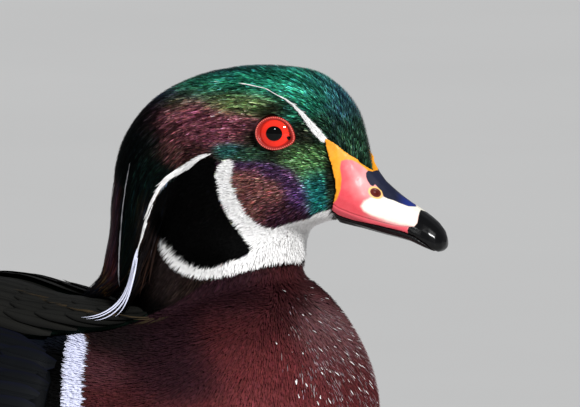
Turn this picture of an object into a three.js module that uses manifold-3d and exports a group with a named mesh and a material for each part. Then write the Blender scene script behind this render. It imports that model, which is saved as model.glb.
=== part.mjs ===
// A drake wood duck at life size, standing still with its neck drawn in.
// Millimetres, +Z up, the bird faces +X and its left side is +Y. The floor is Z = 0.
// Until the last lines, X is counted from the root of the bill's ridge.
import * as THREE from "three";
import { mergeVertices } from "three/addons/utils/BufferGeometryUtils.js";
import Module from "manifold-3d";

const wasm = await Module();
wasm.setup();

// Driving sizes
const GAP = 0.3; // space kept between neighbouring pieces
const GROW = GAP + 0.02; // how far a piece is swollen before it is cut out of its neighbour
const EYE_RADIUS = 8;
const EYE_OPENING = 5.2; // radius of the eye that shows between the lids
const EYE_PLACE = [-30.8, 14.5, 220.9];
const EYE_AIM = [0.2, 1, 0.06];
const LID_TUBE = 0.85;
const WEB_THICK = 1.3;
const MIDDLE_TOE = 47;
const ANKLE_HEIGHT = 44;
const SOLE_TOP = 7; // where the foot ends and the shank begins
const FOOT_PLACE = [-119, 27]; // the toes' common joint, on the right side as -Y

// The trunk, from the front of the breast to the end of the undertail: x, bottom, top, half width
const TRUNK = [
  [-4.6, 125, 125, 0],
  [-6, 112, 137, 15],
  [-10.6, 99, 148.5, 24.5],
  [-18.6, 87.5, 160, 33.5],
  [-30, 77, 171, 41],
  [-45, 67, 173, 46],
  [-63, 59.5, 165, 49],
  [-85, 54, 157, 51],
  [-110, 51.5, 157.5, 51.5],
  [-138, 52, 162, 50],
  [-165, 57, 161.5, 46],
  [-190, 67, 157, 40],
  [-212, 80, 150, 33],
  [-232, 94, 143, 26],
  [-252, 106, 136, 20],
  [-272, 114, 129.5, 13],
  [-286, 119, 126, 7.5],
  [-292, 122, 122, 0],
];
// What the folded wings lie on: the trunk, then the rump's air space up to the wing tips
const WING_BED = [
  ...TRUNK.slice(0, 12),
  [-215, 92, 155.5, 36],
  [-240, 108, 154.3, 29],
  [-265, 122, 153, 22],
  [-290, 133, 152, 16],
  [-312, 140, 151, 11],
  [-330, 145, 150, 6],
  [-340, 147.5, 147.5, 0],
];
const TRUNK_ROUND = 2 / 2.25; // power of the trunk's section, 1 for an ellipse

// Head and neck, level slices from the crown down into the breast: z, back, front, half width
const HEAD = [
  [242.3, -40, -40, 0],
  [242, -48, -31, 4.6],
  [241.1, -54, -22.8, 7.8],
  [238.8, -60, -18, 11],
  [234.5, -66, -11.9, 13.4],
  [229, -70.5, -7.2, 14.4],
  [223, -74, -4.6, 14.5],
  [217, -76.5, -3.1, 15],
  [211.5, -78, -1.8, 16.1],
  [206, -79, -2.6, 17.2],
  [200, -80, -4, 17.9],
  [195, -80.5, -7.5, 17.8],
  [191.5, -81, -15.3, 17.3],
  [188, -81.5, -25, 17.2],
  [183, -82, -27.6, 18],
  [178, -83, -27.6, 19.5],
  [172, -85, -29.5, 21],
  [164, -87, -32.5, 22],
  [154, -88, -38, 22],
  [146, -86, -44, 20],
  [142, -65, -65, 0],
];
const NECK_TOP = 189; // the cut between head and neck at the throat
// The drooping crest in level slices: z, back, front, half width
const CREST = [
  [241.6, -50, -50, 0],
  [240, -59.5, -45, 6],
  [236, -71, -45, 10],
  [230, -81.3, -50, 12.5],
  [223, -87.6, -55, 14],
  [214, -92.8, -60, 14.5],
  [204, -95.9, -60, 14],
  [194, -97.4, -65, 13],
  [184, -98.5, -70, 12],
  [175, -100.5, -75, 10.5],
  [168, -102, -82, 8.5],
  [162, -103.5, -92, 5],
  [159.5, -101, -101, 0],
];
const CREST_CORE_END = 202;
const CREST_THICK = 0.7;
const CREST_LEAN = 0.21;
const CREST_COVER = 0.6; // half width of a crest feather, as a share of the space to the next one
// Tiers of crest feathers: height of root and tip, share of the outline, degrees from one feather
// to the next round the crest, and how many there are, spread evenly about the back
const CREST_TIERS = [
  [239.5, 181, 1, 27, 7],
  [222, 161, 0.84, 31, 8],
];
// The closed bill in upright sections: x, top, bottom, half width, squareness of the upper half
const BILL = [
  [-19, 207, 207, 0, 3],
  [-17.5, 224, 193, 8.5, 4],
  [-13, 224, 190.9, 11, 4.5],
  [-8, 218, 189.9, 10.5, 3.6],
  [-3, 212.2, 189.1, 9.8, 2.3],
  [1, 207.4, 188.3, 9.2, 1.6],
  [5, 203.7, 187.5, 8.8, 1.65],
  [10, 199.9, 186.6, 8.3, 1.8],
  [14.8, 197, 185.6, 7.8, 2],
  [18.5, 194.8, 184.1, 7.2, 2.1],
  [22, 192.4, 182.8, 6, 2.1],
  [24.7, 189.2, 182.6, 4.1, 2.1],
  [25.9, 185.4, 185.4, 0, 2.1],
];
const BILL_WIDEST = 0.36; // share of the bill's height at which it is widest
// Where feathers end and the bill begins on the cheek, seen from the side, from the peak near the
// eye down past the gape
const CHEEK_MARGIN = [
  [-14.4, 223],
  [-13.9, 219.3],
  [-13.1, 215.8],
  [-11.2, 210.8],
  [-10, 205.8],
  [-9.8, 202.5],
  [-10.7, 199.1],
  [-12, 195.3],
  [-11, 190],
  [-10.5, 180],
];
// The wedge of forehead feathers that runs down between the bill's two peaks, seen from in front
const WEDGE = [
  [0, 207.9],
  [3.3, 210],
  [5.4, 212],
  [7.5, 214.2],
  [8.8, 216.2],
  [9.8, 218.1],
  [10.7, 219.9],
  [13.5, 221.3],
];
// The line of the mouth, from the gape to the nail
const MOUTH = [
  [-14, 197.2],
  [-12.2, 195.3],
  [-10, 193.6],
  [-5, 192.2],
  [4, 190.9],
  [13, 189.2],
  [17, 187.9],
  [21, 185.1],
  [24, 181.8],
];
const NOSTRIL = { x: 2.4, z: 201.9, long: 1.7, high: 1.05, tilt: -0.6 };

// Legs, in level slices: z, x, half length, half width
const THIGH = [
  [81, -108, 0, 0],
  [78, -108, 13, 10],
  [66, -111, 15, 11.5],
  [58, -116, 12, 9.5],
  [51, -121.5, 8, 7],
  [46, -126, 5.4, 4.9],
  [42, -128, 4, 3.6],
  [40.5, -128, 0, 0],
];
const SHANK = [
  [52, -127, 0, 0],
  [50, -127.5, 3.6, 3.2],
  [43, -128.4, 4.3, 3.5],
  [37, -127, 3.2, 2.7],
  [25, -123.6, 2.8, 2.3],
  [14, -120.8, 3, 2.6],
  [8, -119.2, 3.9, 3.7],
  [4, -118.6, 4.1, 3.8],
  [1, -118.6, 0, 0],
];
// Toes: length, degrees away from the body's middle line, radius at the root
const TOES = [
  [MIDDLE_TOE, 2, 2.7],
  [42, 28, 2.6],
  [37, -25, 2.5],
];
const HIND_TOE = [13, 172, 1.9];

// Folded wings, shoulders and flanks lie on the wings' bed as pads: x, lowest and highest degrees up
// from the side, thickness
const WING_PAD = [
  [-88, 14, 36, 1],
  [-94, 6, 48, 2.6],
  [-115, 3, 51.5, 3.6],
  [-150, 3, 51.5, 3.6],
  [-190, 6, 51.5, 3],
  [-225, 10, 54, 2.4],
  [-260, 13, 50, 1.6],
  [-280, 18, 40, 0.9],
];
const SCAPULAR_PAD = [
  [-76, 58, 72, 1],
  [-84, 54, 82, 2.6],
  [-110, 52.5, 86, 3.6],
  [-140, 52.5, 86, 3.6],
  [-165, 52.5, 84, 2.4],
  [-186, 60, 76, 0.9],
];
const FLANK_PAD = [
  [-84, -30, -14, 1],
  [-92, -44, -2, 2],
  [-120, -55, 2, 2.8],
  [-160, -55, 2, 2.8],
  [-186, -46, 2, 1.8],
  [-200, -30, -8, 0.9],
];
const VANE_THICK = 0.65;
const VANE_LEAN = 0.12;
const SHORT_VANE = [0.5, 0.95, 1, 0.35]; // widths along a vane, as shares of its half width
const LONG_VANE = [0.5, 0.85, 1, 0.9, 0.3];
// Tiers of vanes on a pad: x and degrees of the roots' lowest one, degrees from one to the next, how
// many, length, degrees gained on the way to the tip, half width, how far the root lies under the
// pad's surface and the tip above it, and the widths
const WING_TIERS = [
  [-96, 13, 12, 3, 38, 0, 5.9, -2, 1.3, SHORT_VANE],
  [-117, 8, 10.5, 4, 46, 0, 5.2, -2, 1.3, SHORT_VANE],
  [-142, 11, 8.6, 4, 62, 1, 4.5, -2, 1.3, LONG_VANE],
];
// Single long vanes of the folded wing, in the same order, the primaries from the longest to the
// shortest, then the tertials
const PRIMARIES = [
  [-200, 16, 131, 13, 3.6, -2.5, 0.3],
  [-198, 23, 113, 8, 4, -2.2, 1.2],
  [-196, 30, 95, 6, 4.2, -2, 2],
  [-193, 37, 76, 4, 4.3, -1.7, 2.6],
];
const TERTIALS = [
  [-170, 38.5, 62, 1, 4.6, -2, 2.6],
  [-164, 45.5, 82, 0, 4.6, -2, 2.8],
];
const SCAPULAR_TIERS = [
  [-82, 60, 9, 3, 46, 0, 4.5, -2, 1.3, SHORT_VANE],
  [-106, 60.5, 10, 3, 56, 0, 5, -2, 1.3, SHORT_VANE],
  [-142, 61, 8.4, 3, 72, 1, 4.2, -2, 1.3, LONG_VANE],
];
const FLANK_TIERS = [
  [-92, -38, 10.5, 3, 40, 0, 5.2, -2, 1.3, SHORT_VANE],
  [-114, -45, 13, 3, 46, 3, 6.3, -2, 1.3, SHORT_VANE],
  [-140, -40, 12.5, 3, 56, 6, 6, -2, 1.2, SHORT_VANE],
];
// Tail: where it starts and ends, its half width at both ends, and the feathers in it
const TAIL_ROOT = -240;
const TAIL_TIP = -338;
const TAIL_HALF = [9, 28];
const TAIL_FEATHERS = 14;
const TAIL_STUB = 0.3; // share of the tail over which its feathers share one root
// The coverts over the tail's root: x, underside, top, half width
const COVERT_ROWS = [
  [-224, 139, 146, 16],
  [-240, 137, 142.8, 18],
  [-262, 134, 138.6, 16],
  [-278, 133.6, 135.4, 11],
];
// Tiers of vanes on the tail's coverts: x of the roots, how many, length, half width
const COVERT_TIERS = [
  [-222, 3, 36, 5],
  [-241, 4, 48, 3.8],
];
// Tiers of vanes under the tail: x of the roots, degrees from straight down, length, half width
const UNDERTAIL_TIERS = [
  [-236, [-24, 24], 34, 5],
  [-256, [-16, 16], 42, 4.4],
];

const LEFT = 1;
const RIGHT = -1;
const SIDES = [
  [RIGHT, "right"],
  [LEFT, "left"],
];

// A row of a table of sections at s from 0 to 1, on a smooth curve through the rows
function rowAt(rows, s) {
  const place = THREE.MathUtils.clamp(s, 0, 1) * (rows.length - 1);
  const i = Math.min(Math.floor(place), rows.length - 2);
  const f = place - i;
  const [a, b, c, d] = [i - 1, i, i + 1, i + 2].map(
    (k) => rows[THREE.MathUtils.clamp(k, 0, rows.length - 1)],
  );
  return b.map((q, k) => {
    const m0 = (c[k] - a[k]) / 2;
    const m1 = (d[k] - q) / 2;
    const f2 = f * f;
    const f3 = f2 * f;
    return (
      (2 * f3 - 3 * f2 + 1) * q + (f3 - 2 * f2 + f) * m0 +
      (3 * f2 - 2 * f3) * c[k] + (f3 - f2) * m1
    );
  });
}

const signedPower = (v, power) => Math.sign(v) * Math.abs(v) ** power;

// A sphere's surface carried over to pointAt(share along, angle around)
function loft(along, around, pointAt) {
  const g = new THREE.SphereGeometry(1, around, along);
  const { position, uv } = g.attributes;
  for (let i = 0; i < position.count; i++) {
    const s = 1 - uv.getY(i);
    const p = pointAt(s, 2 * Math.PI * uv.getX(i));
    position.setXYZ(i, p.x, p.y, p.z);
  }
  return g;
}

// A geometry as a solid, swollen outwards by grow, with its faces turned outwards
function solidOf(geometry, grow = 0) {
  const bare = new THREE.BufferGeometry();
  bare.setAttribute("position", geometry.attributes.position.clone());
  if (geometry.index) bare.setIndex(geometry.index.clone());
  const g = mergeVertices(bare, 1e-3);
  const build = (flip) => {
    const t = Uint32Array.from(g.index.array);
    if (flip) for (let i = 0; i < t.length; i += 3) [t[i + 1], t[i + 2]] = [t[i + 2], t[i + 1]];
    const vertProperties = Float32Array.from(g.attributes.position.array);
    return new wasm.Manifold(new wasm.Mesh({ numProp: 3, vertProperties, triVerts: t }));
  };
  const turned = build(false).volume() < 0;
  if (grow) {
    g.computeVertexNormals();
    const { position, normal } = g.attributes;
    const out = turned ? -grow : grow;
    for (let i = 0; i < position.count; i++)
      position.setXYZ(
        i,
        position.getX(i) + normal.getX(i) * out,
        position.getY(i) + normal.getY(i) * out,
        position.getZ(i) + normal.getZ(i) * out,
      );
  }
  return build(turned);
}

const SMOOTHED = 0.05; // cut edges closer together than this are merged
const largest = (solid) =>
  solid.decompose().reduce((best, piece) => (piece.volume() > best.volume() ? piece : best));
const fuse = (solids) => solids.reduce((all, piece) => all.add(piece));

function meshOf(name, solid, material) {
  const m = largest(solid).simplify(SMOOTHED).getMesh();
  const g = new THREE.BufferGeometry();
  g.setAttribute("position", new THREE.BufferAttribute(Float32Array.from(m.vertProperties), 3));
  g.setIndex(new THREE.BufferAttribute(Uint32Array.from(m.triVerts), 1));
  g.computeVertexNormals();
  const mesh = new THREE.Mesh(g, material);
  mesh.name = name;
  return mesh;
}

// A small repeatable source of chance
function chance(seed) {
  let state = seed;
  return () => {
    state = (state * 1664525 + 1013904223) % 4294967296;
    return state / 4294967296;
  };
}

// A feather as a flat vane. Each station is a point of its middle line, the way it faces there and
// its half width. Its left edge is raised and its right one lowered by lean, a share of the half
// width, so that neighbours lie over each other as tiles do.
function vane(stations, thick, lean = 0, grow = 0) {
  const last = stations.length - 1;
  const positions = [];
  const index = [];
  stations.forEach(({ point, face, half }, i) => {
    const before = stations[Math.max(i - 1, 0)].point;
    const after = stations[Math.min(i + 1, last)].point;
    const along = after.clone().sub(before).normalize();
    const aside = new THREE.Vector3().crossVectors(along, face).normalize();
    const up = new THREE.Vector3().crossVectors(aside, along);
    const thin = (thick / 2) * (1 - 0.35 * (i / last)) + grow;
    const end = i === 0 ? -grow : i === last ? grow : 0;
    for (const [edge, layer] of [[1, 1], [-1, 1], [-1, -1], [1, -1]]) {
      const p = point
        .clone()
        .addScaledVector(aside, edge * (half + grow))
        .addScaledVector(up, layer * thin + edge * lean * half)
        .addScaledVector(along, end);
      positions.push(p.x, p.y, p.z);
    }
  });
  const quad = (a, b, c, d) => index.push(a, b, c, a, c, d);
  for (let i = 0; i < last; i++) {
    const [a, b] = [4 * i, 4 * i + 4];
    quad(a, a + 1, b + 1, b);
    index.push(a + 3, b + 2, a + 2, a + 3, b + 3, b + 2);
    quad(a + 1, a + 2, b + 2, b + 1);
    quad(a + 3, a, b, b + 3);
  }
  quad(0, 3, 2, 1);
  const tip = 4 * last;
  quad(tip, tip + 1, tip + 2, tip + 3);
  const g = new THREE.BufferGeometry();
  g.setAttribute("position", new THREE.BufferAttribute(new Float32Array(positions), 3));
  g.setIndex(index);
  return solidOf(g);
}

const coloured = (color, roughness) => new THREE.MeshStandardMaterial({ color, roughness });
const material = {
  head: coloured(0x123a2a, 0.45),
  crest: coloured(0x10251f, 0.5),
  neck: coloured(0x141010, 0.7),
  breast: coloured(0x4a1c1a, 0.6),
  belly: coloured(0xd8d2c4, 0.8),
  rump: coloured(0x16181a, 0.6),
  bill: coloured(0xd8574f, 0.35),
  jaw: coloured(0x0c0c0e, 0.3),
  eye: coloured(0xd21c14, 0.1),
  lid: coloured(0xe02c1c, 0.45),
  wing: coloured(0x17212e, 0.5),
  scapular: coloured(0x14161a, 0.5),
  flank: coloured(0xc9a05a, 0.7),
  tail: coloured(0x101a1e, 0.5),
  leg: coloured(0xb98a3c, 0.6),
};

// Plates far larger than the bird, with an outline seen from the side or from in front
const PLATE = 200;
function plate(points) {
  const outline = new THREE.Shape(points.map(([across, up]) => new THREE.Vector2(across, up)));
  const g = new THREE.ExtrudeGeometry(outline, { depth: PLATE, bevelEnabled: false });
  return g.translate(0, 0, -PLATE / 2).rotateX(Math.PI / 2);
}
const sidePlate = (points) => solidOf(plate(points));
const frontPlate = (points) => solidOf(plate(points).rotateZ(Math.PI / 2));

// A line moved sideways to its left by distance, with its corners kept sharp
function shifted(line, distance) {
  const left = line.slice(1).map(([x, z], i) => {
    const length = Math.hypot(x - line[i][0], z - line[i][1]);
    return [-(z - line[i][1]) / length, (x - line[i][0]) / length];
  });
  return line.map(([x, z], i) => {
    const a = left[Math.max(i - 1, 0)];
    const b = left[Math.min(i, left.length - 1)];
    const reach = distance / (1 + a[0] * b[0] + a[1] * b[1]);
    return [x + (a[0] + b[0]) * reach, z + (a[1] + b[1]) * reach];
  });
}

// Trunk
function sectionPoint([x, bottom, top, half], angle, round) {
  const c = signedPower(Math.cos(angle), round);
  const s = signedPower(Math.sin(angle), round);
  return new THREE.Vector3(x, half * c, (top + bottom) / 2 + ((top - bottom) / 2) * s);
}
const trunkShape = loft(26, 20, (s, a) => sectionPoint(rowAt(TRUNK, s), a, TRUNK_ROUND));
const trunk = solidOf(trunkShape);
const trunkGrown = solidOf(trunkShape, GROW);

// Head and neck, egg-shaped in level slices with the narrow end in front
const EGG_FRONT = [2.2, 0.42];
const EGG_BACK = [2, 0.5];
function eggPoint([z, back, front, half], angle) {
  const c = Math.cos(angle);
  const [p, q] = c > 0 ? EGG_FRONT : EGG_BACK;
  const wide = half * Math.max(0, 1 - Math.abs(c) ** p) ** q;
  return new THREE.Vector3(
    (back + front) / 2 + ((front - back) / 2) * c, Math.sign(Math.sin(angle)) * wide, z,
  );
}
const headShape = loft(26, 20, (s, a) => eggPoint(rowAt(HEAD, s), a));
const headGrown = solidOf(headShape, GROW);

// Bill
function billPoint([x, top, bottom, half, square], angle) {
  const widest = bottom + BILL_WIDEST * (top - bottom);
  const round = 2 / (angle < Math.PI ? square : 2.5);
  const y = half * signedPower(Math.cos(angle), round);
  const rise = signedPower(Math.sin(angle), round);
  return new THREE.Vector3(x, y, widest + (rise > 0 ? top - widest : widest - bottom) * rise);
}
const billShape = loft(18, 16, (s, a) => billPoint(rowAt(BILL, s), a));
const billSide = [[60, 170], [60, 223]];
const forehead = [...WEDGE.slice(1).map(([y, z]) => [-y, z]).reverse(), ...WEDGE];
const foreheadSide = [[13.5, 260], [-13.5, 260]];
const billRegion = sidePlate([...CHEEK_MARGIN, ...billSide]).subtract(
  frontPlate([...forehead, ...foreheadSide]),
);
const billRegionGrown = sidePlate([...shifted(CHEEK_MARGIN, -GROW), ...billSide]).subtract(
  frontPlate([...shifted(forehead, GROW), ...foreheadSide]),
);
const jawSide = [[24, 150], [-14, 150]];
const jawPlate = sidePlate([...MOUTH, ...jawSide]);
const jawPlateGrown = sidePlate([...shifted(MOUTH, GROW), ...jawSide]);

const headAndBill = fuse([solidOf(headShape), solidOf(billShape)]);
const billWhole = headAndBill.intersect(billRegion);

function nostrilCut(side) {
  const g = new THREE.SphereGeometry(1, 14, 10);
  g.scale(NOSTRIL.long, 3, NOSTRIL.high);
  g.rotateY(-NOSTRIL.tilt);
  g.translate(NOSTRIL.x, side * 7.6, NOSTRIL.z);
  return solidOf(g);
}
const billUpper = [LEFT, RIGHT].reduce(
  (bill, side) => bill.subtract(nostrilCut(side)),
  largest(billWhole.subtract(jawPlateGrown)),
);
const billLower = largest(billWhole.intersect(jawPlate));

// Eyes and their lids
function eyeParts(side) {
  const aim = new THREE.Vector3(EYE_AIM[0], side * EYE_AIM[1], EYE_AIM[2]).normalize();
  const place = new THREE.Vector3(EYE_PLACE[0], side * EYE_PLACE[1], EYE_PLACE[2]);
  const depth = Math.sqrt(EYE_RADIUS ** 2 - EYE_OPENING ** 2);
  const centre = place.clone().addScaledVector(aim, -depth);
  const ball = new THREE.SphereGeometry(EYE_RADIUS, 12, 8);
  ball.translate(centre.x, centre.y, centre.z);
  const up = new THREE.Vector3(0, 0, 1).addScaledVector(aim, -aim.z).normalize();
  const ahead = new THREE.Vector3().crossVectors(up, aim).multiplyScalar(-side);
  const rim = [];
  const STEPS = 16;
  for (let i = 0; i < STEPS; i++) {
    const a = (2 * Math.PI * i) / STEPS;
    const corner = Math.max(0, Math.cos(a + 0.35)) ** 8; // the eye's front corner, drawn out and low
    const along = (5.9 + 0.9 * corner) * Math.cos(a);
    const rise = 5 * Math.sin(a) - 0.5 * corner;
    rim.push(place.clone().addScaledVector(ahead, along).addScaledVector(up, rise));
  }
  const curve = new THREE.CatmullRomCurve3(rim, true);
  const lid = new THREE.TubeGeometry(curve, 18, LID_TUBE, 5, true);
  const grown = new THREE.TubeGeometry(curve, 18, LID_TUBE + GROW, 5, true);
  return {
    ball: solidOf(ball),
    ballGrown: solidOf(ball, GROW),
    lid: solidOf(lid),
    lidGrown: solidOf(grown),
  };
}
const eyes = new Map(SIDES.map(([side]) => [side, eyeParts(side)]));

const headCut = [...eyes.values()].reduce(
  (head, { ballGrown, lidGrown }) => head.subtract(ballGrown).subtract(lidGrown),
  headAndBill.subtract(billRegionGrown),
);
const neckDown = [0, 0, -1];
const head = largest(headCut.trimByPlane([0, 0, 1], NECK_TOP));
const neck = largest(headCut.trimByPlane(neckDown, GAP - NECK_TOP).subtract(trunkGrown));

// Share of the way down a table at which its first column has fallen to a value
function shareAt(rows, value) {
  let [low, high] = [0, 1];
  for (let i = 0; i < 30; i++) {
    const middle = (low + high) / 2;
    if (rowAt(rows, middle)[0] > value) low = middle;
    else high = middle;
  }
  return low;
}

// Crest: a core, and long feathers in tiers that follow its outline down to their tips
function crestPoint(z, degrees, share) {
  const row = rowAt(CREST, shareAt(CREST, z));
  const p = eggPoint(row, THREE.MathUtils.degToRad(degrees));
  const middle = new THREE.Vector3((row[1] + row[2]) / 2, 0, z);
  return p.sub(middle).multiplyScalar(share).add(middle);
}
function crestFeather([rootZ, tipZ, share, apart], degrees) {
  const WIDTHS = [0.5, 0.85, 1, 1, 0.85, 0.6, 0.2];
  const stations = WIDTHS.map((width, i) => {
    const f = i / (WIDTHS.length - 1);
    const z = THREE.MathUtils.lerp(rootZ, tipZ, f);
    const sunk = share - 0.2 * (1 - f) ** 3;
    const point = crestPoint(z, degrees, sunk);
    const down = crestPoint(z - 1, degrees, sunk).sub(crestPoint(z + 1, degrees, sunk));
    const round = crestPoint(z, degrees + apart / 2, sunk).sub(
      crestPoint(z, degrees - apart / 2, sunk),
    );
    const half = CREST_COVER * round.length() * width;
    return { point, face: round.cross(down).normalize(), half };
  });
  return vane(stations, CREST_THICK, CREST_LEAN);
}
const crestShape = loft(16, 18, (s, a) => eggPoint(rowAt(CREST, s), a));
const crestCore = solidOf(
  loft(12, 14, (s, a) => {
    const z = THREE.MathUtils.lerp(CREST[0][0], CREST_CORE_END, s);
    return crestPoint(z, THREE.MathUtils.radToDeg(a), 0.8 * Math.min(1, 3 * Math.sqrt(1 - s)));
  }),
);
const crestChance = chance(11);
const crestFeathers = CREST_TIERS.flatMap(([rootZ, tipZ, share, apart, count]) =>
  Array.from({ length: count }, (_, i) => {
    const lower = 4 * (crestChance() - 0.5);
    const degrees = 180 + apart * (i - (count - 1) / 2) + 2 * (crestChance() - 0.5);
    return crestFeather([rootZ, tipZ + lower, share, apart], degrees);
  }),
);
const crest = fuse([crestCore, ...crestFeathers]).subtract(headGrown).subtract(trunkGrown);
const headAndCrestGrown = headGrown.add(solidOf(crestShape, GROW));

// Trunk in its named parts
const BREAST_BACK = -78;
const RUMP_FRONT = -212;
const breast = trunk.trimByPlane([1, 0, 0], BREAST_BACK);
const torso = trunk.trimByPlane([-1, 0, 0], GAP - BREAST_BACK).trimByPlane([1, 0, 0], RUMP_FRONT);
const rump = trunk.trimByPlane([-1, 0, 0], GAP - RUMP_FRONT);

// A point of the wings' bed: x, degrees up from the side, distance outwards
function bedSurface(side, x, degrees) {
  const a = THREE.MathUtils.degToRad(degrees);
  const p = sectionPoint(rowAt(WING_BED, shareAt(WING_BED, x)), a, TRUNK_ROUND);
  p.y *= side;
  return p;
}
function bedNormal(side, x, degrees) {
  const along = bedSurface(side, x + 2, degrees).sub(bedSurface(side, x - 2, degrees));
  const round = bedSurface(side, x, degrees + 3).sub(bedSurface(side, x, degrees - 3));
  return round.cross(along).multiplyScalar(side).normalize();
}
const bedPoint = (side, x, degrees, out) =>
  bedSurface(side, x, degrees).addScaledVector(bedNormal(side, x, degrees), out);

// A closed shell between two sheets: pointAt(u, v, 0) below and pointAt(u, v, 1) above
function shell(across, along, pointAt) {
  const positions = [];
  const index = [];
  const at = (layer, i, j) => layer * (across + 1) * (along + 1) + j * (across + 1) + i;
  for (const layer of [0, 1])
    for (let j = 0; j <= along; j++)
      for (let i = 0; i <= across; i++) {
        const p = pointAt(i / across, j / along, layer);
        positions.push(p.x, p.y, p.z);
      }
  const quad = (a, b, c, d) => index.push(a, b, c, a, c, d);
  for (let j = 0; j < along; j++)
    for (let i = 0; i < across; i++) {
      const [a, b, c, d] = [[i, j], [i + 1, j], [i + 1, j + 1], [i, j + 1]];
      quad(at(1, ...a), at(1, ...b), at(1, ...c), at(1, ...d));
      index.push(at(0, ...a), at(0, ...c), at(0, ...b), at(0, ...a), at(0, ...d), at(0, ...c));
    }
  for (let i = 0; i < across; i++) {
    quad(at(0, i, 0), at(0, i + 1, 0), at(1, i + 1, 0), at(1, i, 0));
    quad(at(0, i + 1, along), at(0, i, along), at(1, i, along), at(1, i + 1, along));
  }
  for (let j = 0; j < along; j++) {
    quad(at(0, 0, j + 1), at(0, 0, j), at(1, 0, j), at(1, 0, j + 1));
    quad(at(0, across, j), at(0, across, j + 1), at(1, across, j + 1), at(1, across, j));
  }
  const g = new THREE.BufferGeometry();
  g.setAttribute("position", new THREE.BufferAttribute(new Float32Array(positions), 3));
  g.setIndex(index);
  return g;
}

const CLEAR = GAP + 0.8; // how far above the bed a pad's underside lies, clear of the trunk's facets
function pad(side, rows, across, along) {
  return solidOf(
    shell(across, along, (u, v, layer) => {
      const [x, low, high, thick] = rowAt(rows, v);
      const swell = 0.25 + 0.75 * Math.sqrt(Math.max(0, 1 - (2 * u - 1) ** 2));
      return bedPoint(side, x, low + (high - low) * u, CLEAR + layer * thick * swell);
    }),
  );
}
// How far a pad's upper side stands off the bed
function padHeight(rows, x, degrees) {
  const [, low, high, thick] = rowAt(rows, shareAt(rows, x));
  const u = (2 * (degrees - low)) / (high - low) - 1;
  return CLEAR + thick * (0.25 + 0.75 * Math.sqrt(Math.max(0, 1 - u * u)));
}
// A vane on a pad, from its root backwards
function padVane(side, rows, x, degrees, [length, gain, half, sunk, raised, widths]) {
  const stations = widths.map((width, i) => {
    const f = i / (widths.length - 1);
    const [at, up] = [x - length * f, degrees + gain * f];
    const out = Math.max(CLEAR + 0.8, padHeight(rows, at, up) + THREE.MathUtils.lerp(sunk, raised, f));
    return {
      point: bedPoint(side, at, up, out),
      face: bedNormal(side, at, up),
      half: half * width,
    };
  });
  return vane(stations, VANE_THICK, side * VANE_LEAN);
}
function tierVanes(side, rows, tiers, random) {
  return tiers.flatMap(([x, degrees, apart, count, length, ...rest]) =>
    Array.from({ length: count }, (_, i) => {
      const back = x + 2.4 * (random() - 0.5);
      const long = length * (1 + 0.06 * (random() - 0.5));
      return padVane(side, rows, back, degrees + apart * i, [long, ...rest]);
    }),
  );
}
const singleVanes = (side, rows, list) =>
  list.map(([x, degrees, ...rest]) => padVane(side, rows, x, degrees, [...rest, LONG_VANE]));
function wing(side) {
  const random = chance(21);
  return fuse([
    pad(side, WING_PAD, 5, 9),
    ...tierVanes(side, WING_PAD, WING_TIERS, random),
    ...singleVanes(side, WING_PAD, PRIMARIES),
    ...singleVanes(side, WING_PAD, TERTIALS),
  ]).trimByPlane([0, side, 0], GAP);
}
function scapulars(side) {
  const feathers = tierVanes(side, SCAPULAR_PAD, SCAPULAR_TIERS, chance(22));
  return fuse([pad(side, SCAPULAR_PAD, 4, 6), ...feathers]).subtract(headAndCrestGrown);
}
function flank(side) {
  const feathers = tierVanes(side, FLANK_PAD, FLANK_TIERS, chance(23));
  return fuse([pad(side, FLANK_PAD, 5, 6), ...feathers]);
}

// Tail, a shallow roof of feathers, the middle ones on top
function tailPoint(u, v) {
  const x = THREE.MathUtils.lerp(TAIL_ROOT, TAIL_TIP + 14 * u ** 2, v);
  const y = u * THREE.MathUtils.lerp(...TAIL_HALF, v);
  return new THREE.Vector3(x, y, 134.8 + (x - TAIL_ROOT) * 0.07 - 0.3 * Math.abs(y));
}
const tailStub = shell(6, 1, (u, v, layer) =>
  tailPoint(2 * u - 1, v * TAIL_STUB).add(new THREE.Vector3(0, 0, layer ? 0.8 : -0.8)),
);
const tailFeathers = Array.from({ length: TAIL_FEATHERS }, (_, i) => {
  const u = (2 * i + 1) / TAIL_FEATHERS - 1;
  const half = (0.62 * 2 * TAIL_HALF[1]) / TAIL_FEATHERS;
  const stations = [0.2, 0.6, 0.92, 1].map((v, k) => {
    const tilt = new THREE.Vector3(0, 0.3 * Math.sign(u), 1).normalize();
    return { point: tailPoint(u, v), face: tilt, half: half * [0.4, 0.75, 1, 0.35][k] };
  });
  return vane(stations, VANE_THICK, Math.sign(u) * VANE_LEAN);
});
const tail = fuse([solidOf(tailStub), ...tailFeathers]).subtract(trunkGrown);

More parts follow.
